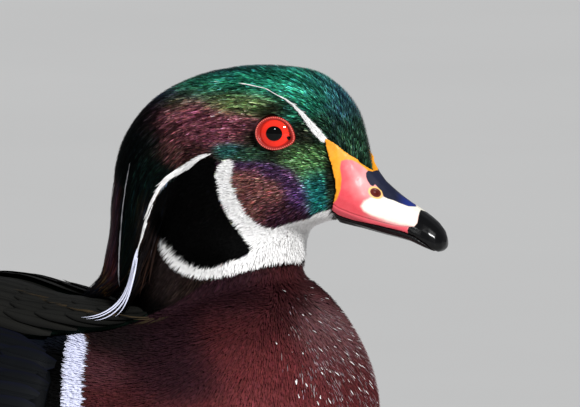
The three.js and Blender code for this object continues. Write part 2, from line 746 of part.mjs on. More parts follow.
// What the tail takes up, with room to spare, as one plain plate
const tailRoom = solidOf(
  shell(8, 4, (u, v, layer) =>
    tailPoint(1.08 * (2 * u - 1), v).add(new THREE.Vector3(0, 0, layer ? 1.5 : -1.5)),
  ),
);
function covertPoint(x, u, layer) {
  const [, low, high, half] = rowAt(COVERT_ROWS, shareAt(COVERT_ROWS, x));
  const swell = Math.sqrt(Math.max(0, 1 - u * u));
  const z = low - 0.22 * half * Math.abs(u) + layer * (0.9 + (high - low) * swell);
  return new THREE.Vector3(x, u * half, z);
}
const covertShape = shell(6, 4, (u, v, layer) =>
  covertPoint(THREE.MathUtils.lerp(COVERT_ROWS[0][0], COVERT_ROWS[3][0], v), 2 * u - 1, layer),
);
const covertFeathers = COVERT_TIERS.flatMap(([x, count, length, half]) =>
  Array.from({ length: count }, (_, i) => {
    const u = (0.66 * (2 * i + 1 - count)) / (count - 1);
    const stations = SHORT_VANE.map((width, k) => {
      const f = k / 3;
      const point = covertPoint(x - length * f, u, 1);
      point.z += THREE.MathUtils.lerp(-2, 1.3, f);
      return { point, face: new THREE.Vector3(0, u, 1).normalize(), half: half * width };
    });
    return vane(stations, VANE_THICK, u < 0 ? -VANE_LEAN : VANE_LEAN);
  }),
);
const tailCoverts = fuse([solidOf(covertShape), ...covertFeathers])
  .subtract(trunkGrown)
  .subtract(tailRoom);

// Coverts under the tail, rooted in the rump
const undertail = UNDERTAIL_TIERS.flatMap(([x, places, length, half]) =>
  places.map((degrees) => {
    const stations = SHORT_VANE.map((width, k) => {
      const f = k / 3;
      const at = x - length * f;
      const a = THREE.MathUtils.degToRad(degrees - 90);
      const point = sectionPoint(rowAt(TRUNK, shareAt(TRUNK, at)), a, TRUNK_ROUND);
      const face = new THREE.Vector3(0, Math.cos(a), Math.sin(a));
      point.addScaledVector(face, THREE.MathUtils.lerp(-2, 1.5, f));
      return { point, face, half: half * width };
    });
    return vane(stations, VANE_THICK);
  }),
);

// Legs and webbed feet
function uprightLoft(rows, y, along, around, grow = 0) {
  const surface = loft(along, around, (s, a) => {
    const [z, x, long, wide] = rowAt(rows, s);
    return new THREE.Vector3(x + long * Math.cos(a), y + wide * Math.sin(a), z);
  });
  return solidOf(surface, grow);
}
function toe(side, [length, degrees, radius]) {
  const a = THREE.MathUtils.degToRad(degrees) * side;
  const ahead = new THREE.Vector3(Math.cos(a), Math.sin(a), 0);
  const aside = new THREE.Vector3(-Math.sin(a), Math.cos(a), 0);
  const root = new THREE.Vector3(FOOT_PLACE[0], side * FOOT_PLACE[1], 0);
  return solidOf(
    loft(7, 6, (s, turn) => {
      const knuckle = 1 + 0.12 * Math.cos(s * Math.PI * 6);
      const r = radius * (1 - 0.62 * s) * Math.sqrt(Math.min(1, 8 * s * (1 - s))) * knuckle;
      return root
        .clone()
        .addScaledVector(ahead, length * s - radius)
        .addScaledVector(aside, r * Math.cos(turn))
        .add(new THREE.Vector3(0, 0, radius * (0.85 - 0.6 * s) + r * 0.9 * Math.sin(turn)));
    }),
  );
}
function web(side) {
  const tip = ([length, degrees], share) => {
    const a = THREE.MathUtils.degToRad(degrees) * side;
    return new THREE.Vector2(
      FOOT_PLACE[0] + length * share * Math.cos(a),
      side * FOOT_PLACE[1] + length * share * Math.sin(a),
    );
  };
  const [middle, outer, inner] = TOES;
  const WEBBED = 0.86;
  const HOLLOW = 0.66; // how far the web's edge draws back between two toes
  const between = (a, b) => tip([(a[0] + b[0]) / 2, (a[1] + b[1]) / 2], HOLLOW);
  const outline = new THREE.Shape();
  const start = tip(inner, -0.06);
  outline.moveTo(start.x, start.y);
  let at = tip(inner, WEBBED);
  outline.lineTo(at.x, at.y);
  for (const [a, b] of [[inner, middle], [middle, outer]]) {
    const bend = between(a, b);
    at = tip(b, WEBBED);
    outline.quadraticCurveTo(bend.x, bend.y, at.x, at.y);
  }
  outline.closePath();
  const g = new THREE.ExtrudeGeometry(outline, {
    depth: WEB_THICK, bevelEnabled: false, curveSegments: 4,
  });
  return solidOf(g);
}
function legParts(side) {
  const y = side * FOOT_PLACE[1];
  const foot = fuse([...TOES, HIND_TOE].map((t) => toe(side, t)))
    .add(web(side))
    .trimByPlane([0, 0, 1], 0);
  const lower = uprightLoft(SHANK, y, 12, 10).trimByPlane([0, 0, 1], 0).add(foot);
  return {
    thigh: uprightLoft(THIGH, y, 10, 12).subtract(trunkGrown).trimByPlane([0, 0, 1], ANKLE_HEIGHT),
    thighGrown: uprightLoft(THIGH, y, 10, 12, GROW),
    shank: lower
      .trimByPlane([0, 0, 1], SOLE_TOP + GAP)
      .trimByPlane([0, 0, -1], GAP - ANKLE_HEIGHT),
    foot: lower.trimByPlane([0, 0, -1], -SOLE_TOP),
  };
}

// The whole bird
const bird = new THREE.Group();
bird.add(meshOf("head", head, material.head));
bird.add(meshOf("neck", neck, material.neck));
bird.add(meshOf("crest", crest, material.crest));
bird.add(meshOf("breast", breast, material.breast));
bird.add(meshOf("torso", torso, material.belly));
bird.add(meshOf("rump", fuse([rump, ...undertail]).subtract(tailRoom), material.rump));
bird.add(meshOf("bill_upper", billUpper, material.bill));
bird.add(meshOf("bill_lower", billLower, material.jaw));
bird.add(meshOf("tail", tail, material.tail));
bird.add(meshOf("tail_coverts", tailCoverts, material.rump));
for (const [side, word] of SIDES) {
  const { ball, ballGrown, lid } = eyes.get(side);
  const leg = legParts(side);
  bird.add(meshOf(`eye_${word}`, ball, material.eye));
  bird.add(meshOf(`eyelid_${word}`, lid.subtract(ballGrown), material.lid));
  bird.add(meshOf(`wing_${word}`, wing(side), material.wing));
  bird.add(meshOf(`scapulars_${word}`, scapulars(side), material.scapular));
  bird.add(meshOf(`flank_${word}`, flank(side).subtract(leg.thighGrown), material.flank));
  bird.add(meshOf(`thigh_${word}`, leg.thigh, material.belly));
  bird.add(meshOf(`shank_${word}`, leg.shank, material.leg));
  bird.add(meshOf(`foot_${word}`, leg.foot, material.leg));
}

// The frame's origin is on the floor, under the middle of the bird's length and width
const box = new THREE.Box3().setFromObject(bird);
bird.position.x = -(box.min.x + box.max.x) / 2;

export default bird;
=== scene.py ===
import math

import bpy
import numpy as np
from mathutils import Matrix, Vector
from mathutils.bvhtree import BVHTree


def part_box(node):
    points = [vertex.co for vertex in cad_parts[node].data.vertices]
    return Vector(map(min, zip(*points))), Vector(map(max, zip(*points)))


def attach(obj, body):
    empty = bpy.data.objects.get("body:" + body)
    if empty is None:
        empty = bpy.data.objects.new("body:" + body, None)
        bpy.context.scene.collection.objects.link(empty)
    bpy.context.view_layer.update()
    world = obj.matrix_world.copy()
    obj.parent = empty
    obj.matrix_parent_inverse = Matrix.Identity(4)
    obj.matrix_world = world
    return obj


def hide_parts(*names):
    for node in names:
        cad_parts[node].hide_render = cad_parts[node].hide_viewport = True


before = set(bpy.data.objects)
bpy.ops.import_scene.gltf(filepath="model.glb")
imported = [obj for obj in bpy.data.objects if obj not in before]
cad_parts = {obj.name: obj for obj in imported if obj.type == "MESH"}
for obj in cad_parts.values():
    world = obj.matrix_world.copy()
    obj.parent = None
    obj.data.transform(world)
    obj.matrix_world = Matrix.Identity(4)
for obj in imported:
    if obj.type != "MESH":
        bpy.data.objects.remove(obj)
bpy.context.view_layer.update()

# A drake wood duck in its breeding dress. Places are counted in millimetres as in the part's own
# drawing: x from the root of the bill's ridge, y to the bird's left, z up from the floor.
MM = 0.001
TURN = 2 * math.pi
BILL_FRONT = 25.9  # x of the bill's front end
ROOT_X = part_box("bill_upper")[1].x / MM - BILL_FRONT
SIDES = ((-1, "right"), (1, "left"))

# The camera stands at the front right, level with the breast
AZIMUTH = math.radians(26)
ELEVATION = math.radians(6)
CAMERA_FAR = 5000
PHOTO_SIZE = (580, 407)
PIXELS_PER_MM = 3.0
PHOTO_ORIGIN = (376.4, 792.6)  # the pixel of the point x = y = z = 0
TO_RIGHT = np.array([math.cos(AZIMUTH), math.sin(AZIMUTH), 0])
LEVEL = math.cos(ELEVATION)
TO_CAMERA = np.array([math.sin(AZIMUTH) * LEVEL, -math.cos(AZIMUTH) * LEVEL, math.sin(ELEVATION)])
TO_TOP = np.cross(TO_CAMERA, TO_RIGHT)
RAY_START = 400  # how far towards the camera a ray to the bird starts

EYE_PLACE = np.array([-30.8, 14.5, 220.9])
EYE_AIM = np.array([0.2, 1.0, 0.06])
EYE_RADIUS = 8.0
EYE_OPENING = 5.2
PUPIL_AHEAD = 0.3
LID_TUBE = 0.85
BEADS = 54
BEAD_RADIUS = 0.31

# How far the skin lies under the outline of the plumage
HEAD_DEPTH = 1.1
BODY_DEPTH = 1.5


def linear(text):
    """A colour written as RRGGBB, as the red, green and blue that a shader reckons with."""
    value = np.array([int(text[i : i + 2], 16) for i in (0, 2, 4)]) / 255
    return np.where(value <= 0.04045, value / 12.92, ((value + 0.055) / 1.055) ** 2.4)


def step(value, low, high):
    share = np.clip((value - low) / (high - low), 0, 1)
    return share * share * (3 - 2 * share)


def over(colour, share, above):
    return colour + (above - colour) * share[:, None]


def lumpy(x, y, seed, size=97):
    """Smooth random numbers from -1 to 1 over a plane, about one lump to each unit."""
    table = np.random.default_rng(seed).uniform(-1, 1, (size, size))
    i, j = np.floor(x).astype(int) % size, np.floor(y).astype(int) % size
    f, g = x - np.floor(x), y - np.floor(y)
    f, g = f * f * (3 - 2 * f), g * g * (3 - 2 * g)
    i2, j2 = (i + 1) % size, (j + 1) % size
    near = table[i, j] * (1 - f) + table[i2, j] * f
    far = table[i, j2] * (1 - f) + table[i2, j2] * f
    return near * (1 - g) + far * g


def unit(vectors):
    return vectors / np.maximum(np.linalg.norm(vectors, axis=-1, keepdims=True), 1e-9)


def framed(points):
    """Counted millimetres as metres in the frame."""
    return (np.asarray(points, float) + (ROOT_X, 0, 0)) * MM


def photo_place(points):
    """Where a point shows in the photograph, in pixels. Both sides of the bird read as the near one."""
    near = points * (1, 0, 1) - np.abs(points) * (0, 1, 0)
    x = PHOTO_ORIGIN[0] + PIXELS_PER_MM * near @ TO_RIGHT
    y = PHOTO_ORIGIN[1] - PIXELS_PER_MM * near @ TO_TOP
    return np.stack([x, y], -1)


def photo_plane(places):
    """The points that show at places of the photograph, on the plane through x = y = z = 0."""
    right = (places[:, 0] - PHOTO_ORIGIN[0]) / PIXELS_PER_MM
    up = (PHOTO_ORIGIN[1] - places[:, 1]) / PIXELS_PER_MM
    return np.outer(right, TO_RIGHT) + np.outer(up, TO_TOP)


def run_of(line):
    """How far along a line of the photograph each of its points lies, in pixels."""
    return np.concatenate([[0], np.cumsum(np.hypot(*np.diff(line[:, :2], axis=0).T))])


def inside(places, outline):
    """Distance of each place from a closed outline, in pixels, positive inside it."""
    outline = np.array(outline, float)
    nearest = np.full(len(places), 1e9)
    within = np.zeros(len(places), bool)
    for a, b in zip(outline, np.roll(outline, -1, axis=0)):
        edge = b - a
        share = np.clip((places - a) @ edge / (edge @ edge), 0, 1)
        away = places - a - share[:, None] * edge
        nearest = np.minimum(nearest, np.hypot(away[:, 0], away[:, 1]))
        crosses = (a[1] > places[:, 1]) != (b[1] > places[:, 1])
        if a[1] != b[1]:
            at = a[0] + (places[:, 1] - a[1]) * edge[0] / edge[1]
            within ^= crosses & (places[:, 0] < at)
    return np.where(within, nearest, -nearest)


def along_line(places, line):
    """How far each place lies within a line of the photograph, in pixels, negative beside it."""
    line = np.array(line, float)
    within = np.full(len(places), -1e9)
    for a, b in zip(line[:-1], line[1:]):
        edge = b[:2] - a[:2]
        share = np.clip((places - a[:2]) @ edge / (edge @ edge), 0, 1)
        away = places - a[:2] - share[:, None] * edge
        width = a[2] + (b[2] - a[2]) * share
        within = np.maximum(within, width / 2 - np.hypot(away[:, 0], away[:, 1]))
    return within


def blended(places, pools, base):
    """Soft mixture of pools: x, y, reach across, reach down, value. Far from all of them it is base."""
    weight = np.full(len(places), 1e-3)
    total = np.outer(weight, base)
    for x, y, across, down, value in pools:
        w = np.exp(-(((places[:, 0] - x) / across) ** 2) - ((places[:, 1] - y) / down) ** 2)
        weight = weight + w
        total += np.outer(w, value)
    return total / weight[:, None]


# Outlines of the head's markings, as pixels of the photograph
WHITE_THROAT = [
    (225, 160), (229, 159), (233, 161), (233, 172), (231, 182), (235, 192), (240, 202), (246, 213),
    (253, 220), (262, 226), (273, 227.5), (283, 223.5), (295, 220), (308, 217), (316, 212), (326, 209),
    (330, 214), (336, 222), (350, 232), (345, 262), (307, 264.5), (297, 265), (290, 263), (275, 265),
    (260, 268.5), (245, 272.5), (230, 277.5), (215, 280), (198, 280), (185, 277), (174, 270), (166, 261),
    (161, 252), (157, 245), (161, 240), (165, 245), (171, 254), (177, 260), (185, 265), (195, 269),
    (208, 270), (220, 267.5), (230, 262.5), (240, 259), (247, 256), (250, 250), (246, 242), (240, 233.5),
    (232, 222), (226, 212), (221, 200), (217.5, 187), (216, 177), (218.5, 167),
]
BLACK_NECK = [
    (209, 155), (217, 160), (217, 175), (219, 188), (222, 200), (228, 212), (234, 222), (242, 234),
    (252, 250), (247, 258), (230, 264), (220, 269), (208, 272), (195, 271), (185, 267), (177, 262),
    (170, 254), (160, 240), (152, 236), (148, 222), (152, 208), (157, 196), (166, 186), (180, 176),
    (196, 164),
]
BREAST_TOP = [
    (345, 262), (303, 264), (280, 267), (250, 272), (215, 281), (205, 284), (180, 302), (150, 318),
    (100, 330), (-200, 345), (-900, 345), (-900, 900), (600, 900), (600, 262),
]
BAR = [
    (75, 333), (81, 334.5), (85.5, 340), (86.5, 350), (85.5, 364), (84, 380), (84, 540), (64, 540),
    (63.5, 376), (64.5, 362), (65.5, 350), (69, 339),
]
# Where the black before the bar fades in and out, the bar's brown edge starts, and the white spots and
# painted sheen streaks fade in
BAR_BLACK = ((40, 46), (70, 76))
BAR_BROWN = (76, 80)
SPOTS_AND_SHEEN_ACROSS, SPOTS_AND_SHEEN_DOWN = (268, 345), (262, 300)
CREST_ARCS = (235, 215)  # the middle of the arcs that the crown's strands follow
# Light lines: x, y and width along each, from its front or upper end
CROWN_LINE = [
    (323, 139, 7), (316, 131, 8), (310, 124, 6), (302, 114, 3.8), (294, 106, 2.4), (285, 99, 1.6),
    (277, 95, 0.8), (265, 88, 0.4), (250, 84, 0.2), (240, 82, 0.1),
]
CREST_LINE = [
    (127.5, 166, 0.2), (125, 178, 0.5), (123, 192, 0.8), (120.5, 210, 1.1), (119, 228, 1.3),
    (117.5, 250, 1.2), (116.5, 270, 0.9), (116, 282, 0.3),
]
NAPE_LINE = [
    (208, 154, 1), (200, 157, 3), (190, 164, 4.4), (175, 172.5, 4.6), (168, 178, 4.4), (162, 184, 3.2),
    (155, 194, 2.6), (150, 203, 1.8), (146, 214, 1.2), (142, 228, 1), (138, 245, 1), (135, 258, 0.8),
    (132, 270, 0.3),
]
CROWN_LINE_START = (284, 296)  # where its paint fades in
NAPE_PAINTED = 9  # how many of its points are painted under the feathers
# The tufts whose tips notch the nape's line
NAPE_TUFTS = [
    [(180, 169, 0.6), (168, 176, 3), (158, 184, 0.2)], [(174, 174, 0.6), (164, 181, 3), (155.5, 189.5, 0.2)],
    [(168, 180, 0.6), (158, 189, 3.4), (150.5, 200, 0.2)],
    [(158, 191, 0.6), (150.5, 203, 3.2), (144.5, 216, 0.2)],
    [(151, 207, 0.4), (145.5, 221, 2.2), (141, 235, 0.2)],
    [(145, 226, 0.4), (140, 240, 1.8), (135, 253, 0.2)],
]
# Dull buff edges of the shoulder's feathers behind the neck
BUFF_EDGE = [
    (120, 316, 1), (100, 312, 1.2), (80, 308, 1.4), (60, 302, 1.4), (45, 297, 1.2), (20, 291, 1),
]
BUFF_BASE = [
    (165, 315, 0.8), (150, 317.5, 1.4), (135, 318, 1.4), (118, 316, 0.8),
]
# The white strands that fall from the nape's line onto the back
NAPE_STRANDS = [
    [(136.4, 249), (131, 271), (127.5, 283), (123, 294), (116, 304), (105, 312), (92, 316.5), (80, 318)],
    [(136.7, 251), (131.5, 273), (128, 285), (123.7, 296), (116.7, 306), (106, 313.8),
     (95, 318), (85, 319.6)],
    [(136.8, 254), (132, 276), (128.8, 288), (124.6, 299), (118, 309), (110, 315.5),
     (101, 319.5), (94, 321)],
    [(136.6, 258), (132.5, 279), (129.5, 291), (125.6, 302), (120, 312), (114.5, 317)],
]
# Colours of the plumage
# Painted shade: dark blues along the top edge of the crown, which turns away from the light
CROWN_TOP_SHADE = linear("0a1a2e")
CROWN_RIM_SHADE = linear("1a3650")
MOSS = linear("2c3418")
GREEN = linear("288066")
TEAL = linear("335b69")
FOREST = linear("2a4736")
OLIVE = linear("6e8252")
PURPLE = linear("7c4552")
WINE = linear("392221")
SOOT = linear("1d2118")
LEAF = linear("4e7446")
TURQUOISE = linear("247672")
SEA_GREEN = linear("1d5552")
BLUE = linear("442d4c")
VIOLET = linear("5e4277")
CHEEK = linear("734946")
CHEEK_DARK = linear("37202d")
CREST_BLACK = linear("05090a")
CREST_GREEN = linear("030b09")
CREST_PURPLE = linear("3c2029")
NAPE = linear("251d1c")
NAPE_RUSTY = linear("241a17")
# Partly the breast's own maroon, partly painted shade on its rear side, away from the light
SHADED_MAROON = linear("28161c")
CHESTNUT = linear("431e20")
CHESTNUT_WARM = linear("602a2c")
# Painted sheen: the paler chestnut of the breast's right front, where the light falls
CHESTNUT_SHEEN = linear("7a5356")
BREAST_SHADE = linear("181415")
BREAST_STREAKY = linear("4e2e33")
WHITE = linear("f8f7f6")
LAVENDER = linear("dde0f6")
THREAD = linear("b4b4ba")
BLACK = linear("020202")
BELLY = linear("e6e0d2")
BUFF = linear("b98f4c")
BACK = linear("10131a")
RUMP = linear("0e1413")
RUMP_SIDE = linear("3c1220")
UNDERTAIL = linear("14100e")
SHOULDER = linear("1b1b19")
SHOULDER_EDGE = linear("0c0c0b")
SLATE = linear("0d0f12")
INK_BLUE = linear("0e1434")
SPECULUM = linear("0f2450")
WING_VIOLET = linear("241050")
SILVER = linear("b9bec4")
QUILL_GREY = linear("34353a")
BOTTLE = linear("0b1813")
SAND = linear("b8893f")
BAR_EDGE = linear("3c2218")
COVERT_EDGE = linear("0b0d1a")
# Painted sheen: pale streaks over the breast's right front
SHEEN_STREAK = linear("a09094")
BUFF_DULL = linear("453a2a")
# Where each lies on head and breast: x, y, reach across, reach down
HEAD_POOLS = [
    (345, 95, 20, 22, TEAL), (352, 130, 14, 22, FOREST), (330, 78, 22, 10, TEAL), (300, 78, 26, 11, GREEN),
    (308, 100, 18, 14, GREEN), (322, 120, 12, 10, FOREST), (255, 82, 30, 12, GREEN),
    # The dark blue pools along the crown's top edge are painted shade
    (200, 90, 26, 10, FOREST), (205, 72, 50, 5, CROWN_TOP_SHADE), (165, 96, 18, 10, CROWN_TOP_SHADE),
    (150, 112, 15, 16, CREST_BLACK), (152, 135, 9, 22, CREST_GREEN), (238, 103, 22, 8, OLIVE),
    (175, 104, 12, 7, MOSS), (285, 63, 60, 6, CROWN_RIM_SHADE), (205, 84, 22, 6, GREEN), (275, 108, 16, 6, SOOT),
    (195, 120, 26, 15, PURPLE), (172, 126, 9, 14, WINE), (230, 128, 16, 12, PURPLE), (182, 150, 18, 9, WINE),
    (248, 138, 8, 9, SOOT), (275, 155, 18, 5.5, SOOT), (303, 132, 8, 14, SOOT), (230, 149, 10, 5, SEA_GREEN),
    (250, 155, 15, 6, FOREST), (300, 158, 14, 8, LEAF), (308, 170, 9, 10, LEAF), (250, 166, 14, 4, BLUE),
    (274, 173, 13, 5, BLUE), (291, 183, 9, 8, BLUE), (298, 197, 8, 9, VIOLET), (312, 183, 8, 10, TURQUOISE),
    (315, 197, 8, 8, TURQUOISE), (329, 185, 4, 26, SOOT), (248, 184, 14, 11, CHEEK),
    (262, 198, 18, 12, CHEEK), (276, 211, 14, 9, CHEEK_DARK), (292, 211, 9, 9, CHEEK_DARK),
    (252, 214, 9, 7, CHEEK), (128, 150, 14, 24, CREST_BLACK), (105, 200, 8, 26, CREST_PURPLE),
    (101, 250, 8, 26, CREST_PURPLE), (130, 225, 10, 40, CREST_GREEN), (150, 180, 12, 20, CREST_GREEN),
    (145, 250, 9, 30, NAPE), (165, 285, 18, 14, NAPE), (190, 292, 16, 12, NAPE_RUSTY),
    # The black pool at (145, 305) is painted shade in the hollow between the nape and the shoulder
    (225, 284, 24, 8, NAPE_RUSTY), (145, 305, 20, 12, BLACK),
]
# Pools towards the rear of the breast are darker, partly as painted shade; the pale one at its right front
# is painted sheen
BREAST_POOLS = [
    (90, 320, 40, 22, BREAST_SHADE), (125, 345, 24, 18, BREAST_SHADE), (105, 372, 20, 12, BREAST_STREAKY),
    (160, 335, 30, 30, SHADED_MAROON), (175, 375, 40, 20, SHADED_MAROON), (240, 295, 40, 22, SHADED_MAROON),
    (250, 330, 34, 24, CHESTNUT), (290, 290, 30, 20, CHESTNUT), (265, 368, 40, 22, CHESTNUT_WARM),
    (110, 460, 50, 70, CHESTNUT), (335, 325, 26, 40, CHESTNUT_SHEEN), (350, 380, 40, 30, CHESTNUT_WARM),
    (270, 480, 80, 60, CHESTNUT_WARM),
]
# Which way the plumage lies: x, y, reach, degrees from straight ahead, counted over the top
LIE_POOLS = [
    (352, 135, 18, 108), (345, 95, 20, 128), (318, 78, 22, 155), (280, 72, 26, 178), (200, 85, 30, 194),
    (155, 110, 22, 218), (128, 150, 20, 246), (112, 200, 22, 262), (106, 260, 24, 258), (205, 125, 26, 190),
    (165, 150, 16, 224), (275, 108, 18, 180), (310, 140, 14, 170), (275, 158, 18, 184), (260, 195, 26, 196),
    (318, 185, 14, 182), (225, 185, 14, 196), (205, 215, 24, 228), (245, 235, 16, 212), (300, 235, 18, 205),
    (270, 264, 16, 250), (205, 276, 20, 262), (166, 255, 14, 240), (150, 262, 16, 252), (185, 300, 22, 246),
    (140, 215, 14, 250),
]
LIE_BASE = 202
# Length of the plumage in millimetres: x, y, reach across, reach down, length
LENGTH_POOLS = [
    (330, 150, 24, 60, 2.2), (275, 134, 26, 22, 2.1), (270, 90, 40, 20, 3.4), (250, 190, 40, 30, 2.8),
    (190, 100, 26, 18, 5), (140, 125, 22, 26, 6), (112, 180, 18, 40, 9), (110, 260, 20, 40, 18),
    (180, 140, 24, 20, 3.6), (150, 180, 16, 26, 4.6), (200, 215, 30, 30, 2.6), (280, 245, 40, 16, 2.3),
    (200, 275, 40, 8, 2.3), (150, 275, 20, 30, 6),
]
LENGTH_BASE = 6

# The body's sections and the pads that the folded wings, shoulders and flanks make on it, as in the
# part's drawing: x, bottom, top, half width
TRUNK = [
    (-4.6, 125, 125, 0), (-6, 112, 137, 15), (-10.6, 99, 148.5, 24.5), (-18.6, 87.5, 160, 33.5),
    (-30, 77, 171, 41), (-45, 67, 173, 46), (-63, 59.5, 165, 49), (-85, 54, 157, 51),
    (-110, 51.5, 157.5, 51.5), (-138, 52, 162, 50), (-165, 57, 161.5, 46), (-190, 67, 157, 40),
    (-212, 80, 150, 33), (-232, 94, 143, 26), (-252, 106, 136, 20), (-272, 114, 129.5, 13),
    (-286, 119, 126, 7.5), (-292, 122, 122, 0),
]
WING_BED = TRUNK[:12] + [
    (-215, 92, 155.5, 36), (-240, 108, 154.3, 29), (-265, 122, 153, 22), (-290, 133, 152, 16),
    (-312, 140, 151, 11), (-330, 145, 150, 6), (-340, 147.5, 147.5, 0),
]
TRUNK_POWER = 2.25
# Pads: x, lowest and highest degrees up from the side, thickness
PAD_CLEAR = 1.1
WING_PAD = [
    (-100, 14, 36, 1), (-105, 6, 48, 2.6), (-118, 3, 51.5, 3.6), (-150, 3, 51.5, 3.6), (-190, 6, 51.5, 3),
    (-225, 10, 54, 2.4), (-260, 13, 50, 1.6), (-280, 18, 40, 0.9),
]
SCAPULAR_PAD = [
    (-76, 72, 80, 1), (-84, 69, 84, 2.6), (-100, 63, 86, 3.6), (-118, 54, 86, 3.6), (-140, 52.5, 86, 3.6),
    (-165, 52.5, 84, 2.4), (-186, 60, 76, 0.9),
]
FLANK_PAD = [
    (-84, -30, -14, 1), (-92, -44, -2, 2), (-120, -55, 2, 2.8), (-160, -55, 2, 2.8), (-186, -46, 2, 1.8),
    (-200, -30, -8, 0.9),
]
# The crest, and the loose feathers under it: height, back, front, half width
CREST = [
    (241.6, -50, -50, 0), (240, -59.5, -45, 6), (236, -71, -45, 10), (230, -81.5, -50, 12.5),
    (223, -88.4, -55, 14), (214, -94, -60, 14.5), (204, -96.8, -60, 14), (194, -98, -65, 13),
    (184, -98.5, -70, 12), (175, -100.5, -75, 10.5), (168, -102, -82, 8.5), (162, -104.5, -92, 5),
    (159.5, -102, -102, 0),
]
NAPE_FALL = [
    (208, -78, -60, 9), (196, -80, -64, 13), (186, -82.5, -64, 16), (176, -86, -64, 18.5),
    (168, -90, -64, 20.5), (160, -95, -66, 22), (154, -99, -66, 22),
]


def smooth_rows(rows, count=400):
    """A table of sections as a smooth curve through its rows, sampled finely."""
    rows = np.array(rows, float)
    place = np.linspace(0, len(rows) - 1, count)
    i = np.minimum(place.astype(int), len(rows) - 2)
    f = (place - i)[:, None]
    a, b = rows[np.maximum(i - 1, 0)], rows[i]
    c, d = rows[i + 1], rows[np.minimum(i + 2, len(rows) - 1)]
    m0, m1 = (c - a) / 2, (d - b) / 2
    return (
        (2 * f**3 - 3 * f**2 + 1) * b + (f**3 - 2 * f**2 + f) * m0
        + (3 * f**2 - 2 * f**3) * c + (f**3 - f**2) * m1
    )


def looked_up(rows, key):
    """Rows of a table whose first column falls, at the values key of that column."""
    fine = smooth_rows(rows)[::-1]
    return [np.interp(key, fine[:, 0], fine[:, k]) for k in range(1, fine.shape[1])]


# Meshes
def activate(*things):
    """Selects pieces, the first of them active."""
    bpy.ops.object.select_all(action="DESELECT")
    for thing in things:
        thing.select_set(True)
    bpy.context.view_layer.objects.active = things[0]


def added(operator, **settings):
    """A new primitive, with nothing else selected."""
    bpy.ops.object.select_all(action="DESELECT")
    operator(**settings)
    return bpy.context.object


def in_edit_mode(thing, operator, **settings):
    """Runs an operator of edit mode on all of a piece."""
    activate(thing)
    bpy.ops.object.mode_set(mode="EDIT")
    bpy.ops.mesh.select_all(action="SELECT")
    operator(**settings)
    bpy.ops.object.mode_set(mode="OBJECT")


def apply_modifier(thing, kind, **settings):
    activate(thing)
    modifier = thing.modifiers.new(kind.title(), kind)
    for name, value in settings.items():
        setattr(modifier, name, value)
    bpy.ops.object.modifier_apply(modifier=modifier.name)


def copy_linked(thing):
    """A copy of a piece, with a mesh of its own."""
    copy = thing.copy()
    copy.data = thing.data.copy()
    bpy.context.scene.collection.objects.link(copy)
    return copy


def joined(name, things):
    """Several pieces as one."""
    activate(*things)
    if len(things) > 1:
        bpy.ops.object.join()
    things[0].name = things[0].data.name = name
    return things[0]


def face_out(thing):
    in_edit_mode(thing, bpy.ops.mesh.normals_make_consistent, inside=False)


def read(data, field, width, kind=float):
    """A field of a mesh's data as rows of numbers."""
    values = np.empty(len(data) * width, kind)
    data.foreach_get(field, values)
    return values.reshape(-1, width)


def points_of(thing):
    """A piece's vertices in counted millimetres."""
    return read(thing.data.vertices, "co", 3) / MM - (ROOT_X, 0, 0)


def normals_of(thing):
    return read(thing.data.vertices, "normal", 3)


def triangles_of(thing, field="vertices"):
    thing.data.calc_loop_triangles()
    return read(thing.data.loop_triangles, field, 3, np.int32)


def move_points(thing, points):
    thing.data.vertices.foreach_set("co", framed(points).ravel())
    thing.data.update()


def mesh_piece(name, points, quads):
    """A piece of smooth quads, from arrays."""
    mesh = bpy.data.meshes.new(name)
    mesh.vertices.add(len(points))
    mesh.vertices.foreach_set("co", framed(points).ravel())
    mesh.loops.add(quads.size)
    mesh.loops.foreach_set("vertex_index", quads.ravel().astype(np.int32))
    mesh.polygons.add(len(quads))
    mesh.polygons.foreach_set("loop_start", np.arange(len(quads), dtype=np.int32) * 4)
    mesh.polygons.foreach_set("use_smooth", np.ones(len(quads), bool))
    mesh.update(calc_edges=True)
    piece = bpy.data.objects.new(name, mesh)
    bpy.context.scene.collection.objects.link(piece)
    return piece


def map_points(thing, name, places):
    """Writes a map that gives every vertex one place."""
    index = read(thing.data.loops, "vertex_index", 1, np.int32)[:, 0]
    thing.data.uv_layers.new(name=name).uv.foreach_set("vector", places[index].ravel())


def paint_points(thing, name, values):
    """Writes a colour, or a number, on every vertex."""
    values = np.asarray(values, float)
    if values.ndim == 1:
        layer = thing.data.attributes.new(name, "FLOAT", "POINT")
        layer.data.foreach_set("value", values)
    else:
        layer = thing.data.color_attributes.new(name, "FLOAT_COLOR", "POINT")
        opaque = np.concatenate([values, np.ones((len(values), 1))], axis=1)
        layer.data.foreach_set("color", opaque.ravel())


def ring_quads(rings, around, closed=False):
    """Faces between rings of points, and from the last back to the first where closed."""
    i, j = np.meshgrid(np.arange(rings if closed else rings - 1), np.arange(around), indexing="ij")
    low, high = i * around, (i + 1) % rings * around
    k = (j + 1) % around
    return np.stack([low + j, low + k, high + k, high + j], -1).reshape(-1, 4)


def finished(thing, material, slot, *nodes):
    """Gives a piece its material and its body, and hides the nodes it stands for. slot is not used."""
    thing.data.materials.clear()
    thing.data.materials.append(material)
    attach(thing, "root")
    if nodes:
        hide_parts(*nodes)
    return thing


def copy_of(name, *nodes):
    """A copy of CAD nodes as one piece, its loose triangles merged."""
    copies = [copy_linked(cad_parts[node]) for node in nodes]
    for piece in copies:
        piece.parent = None
        for key in list(piece.keys()):
            del piece[key]
    piece = joined(name, copies)
    in_edit_mode(piece, bpy.ops.mesh.remove_doubles, threshold=1e-6)
    return piece


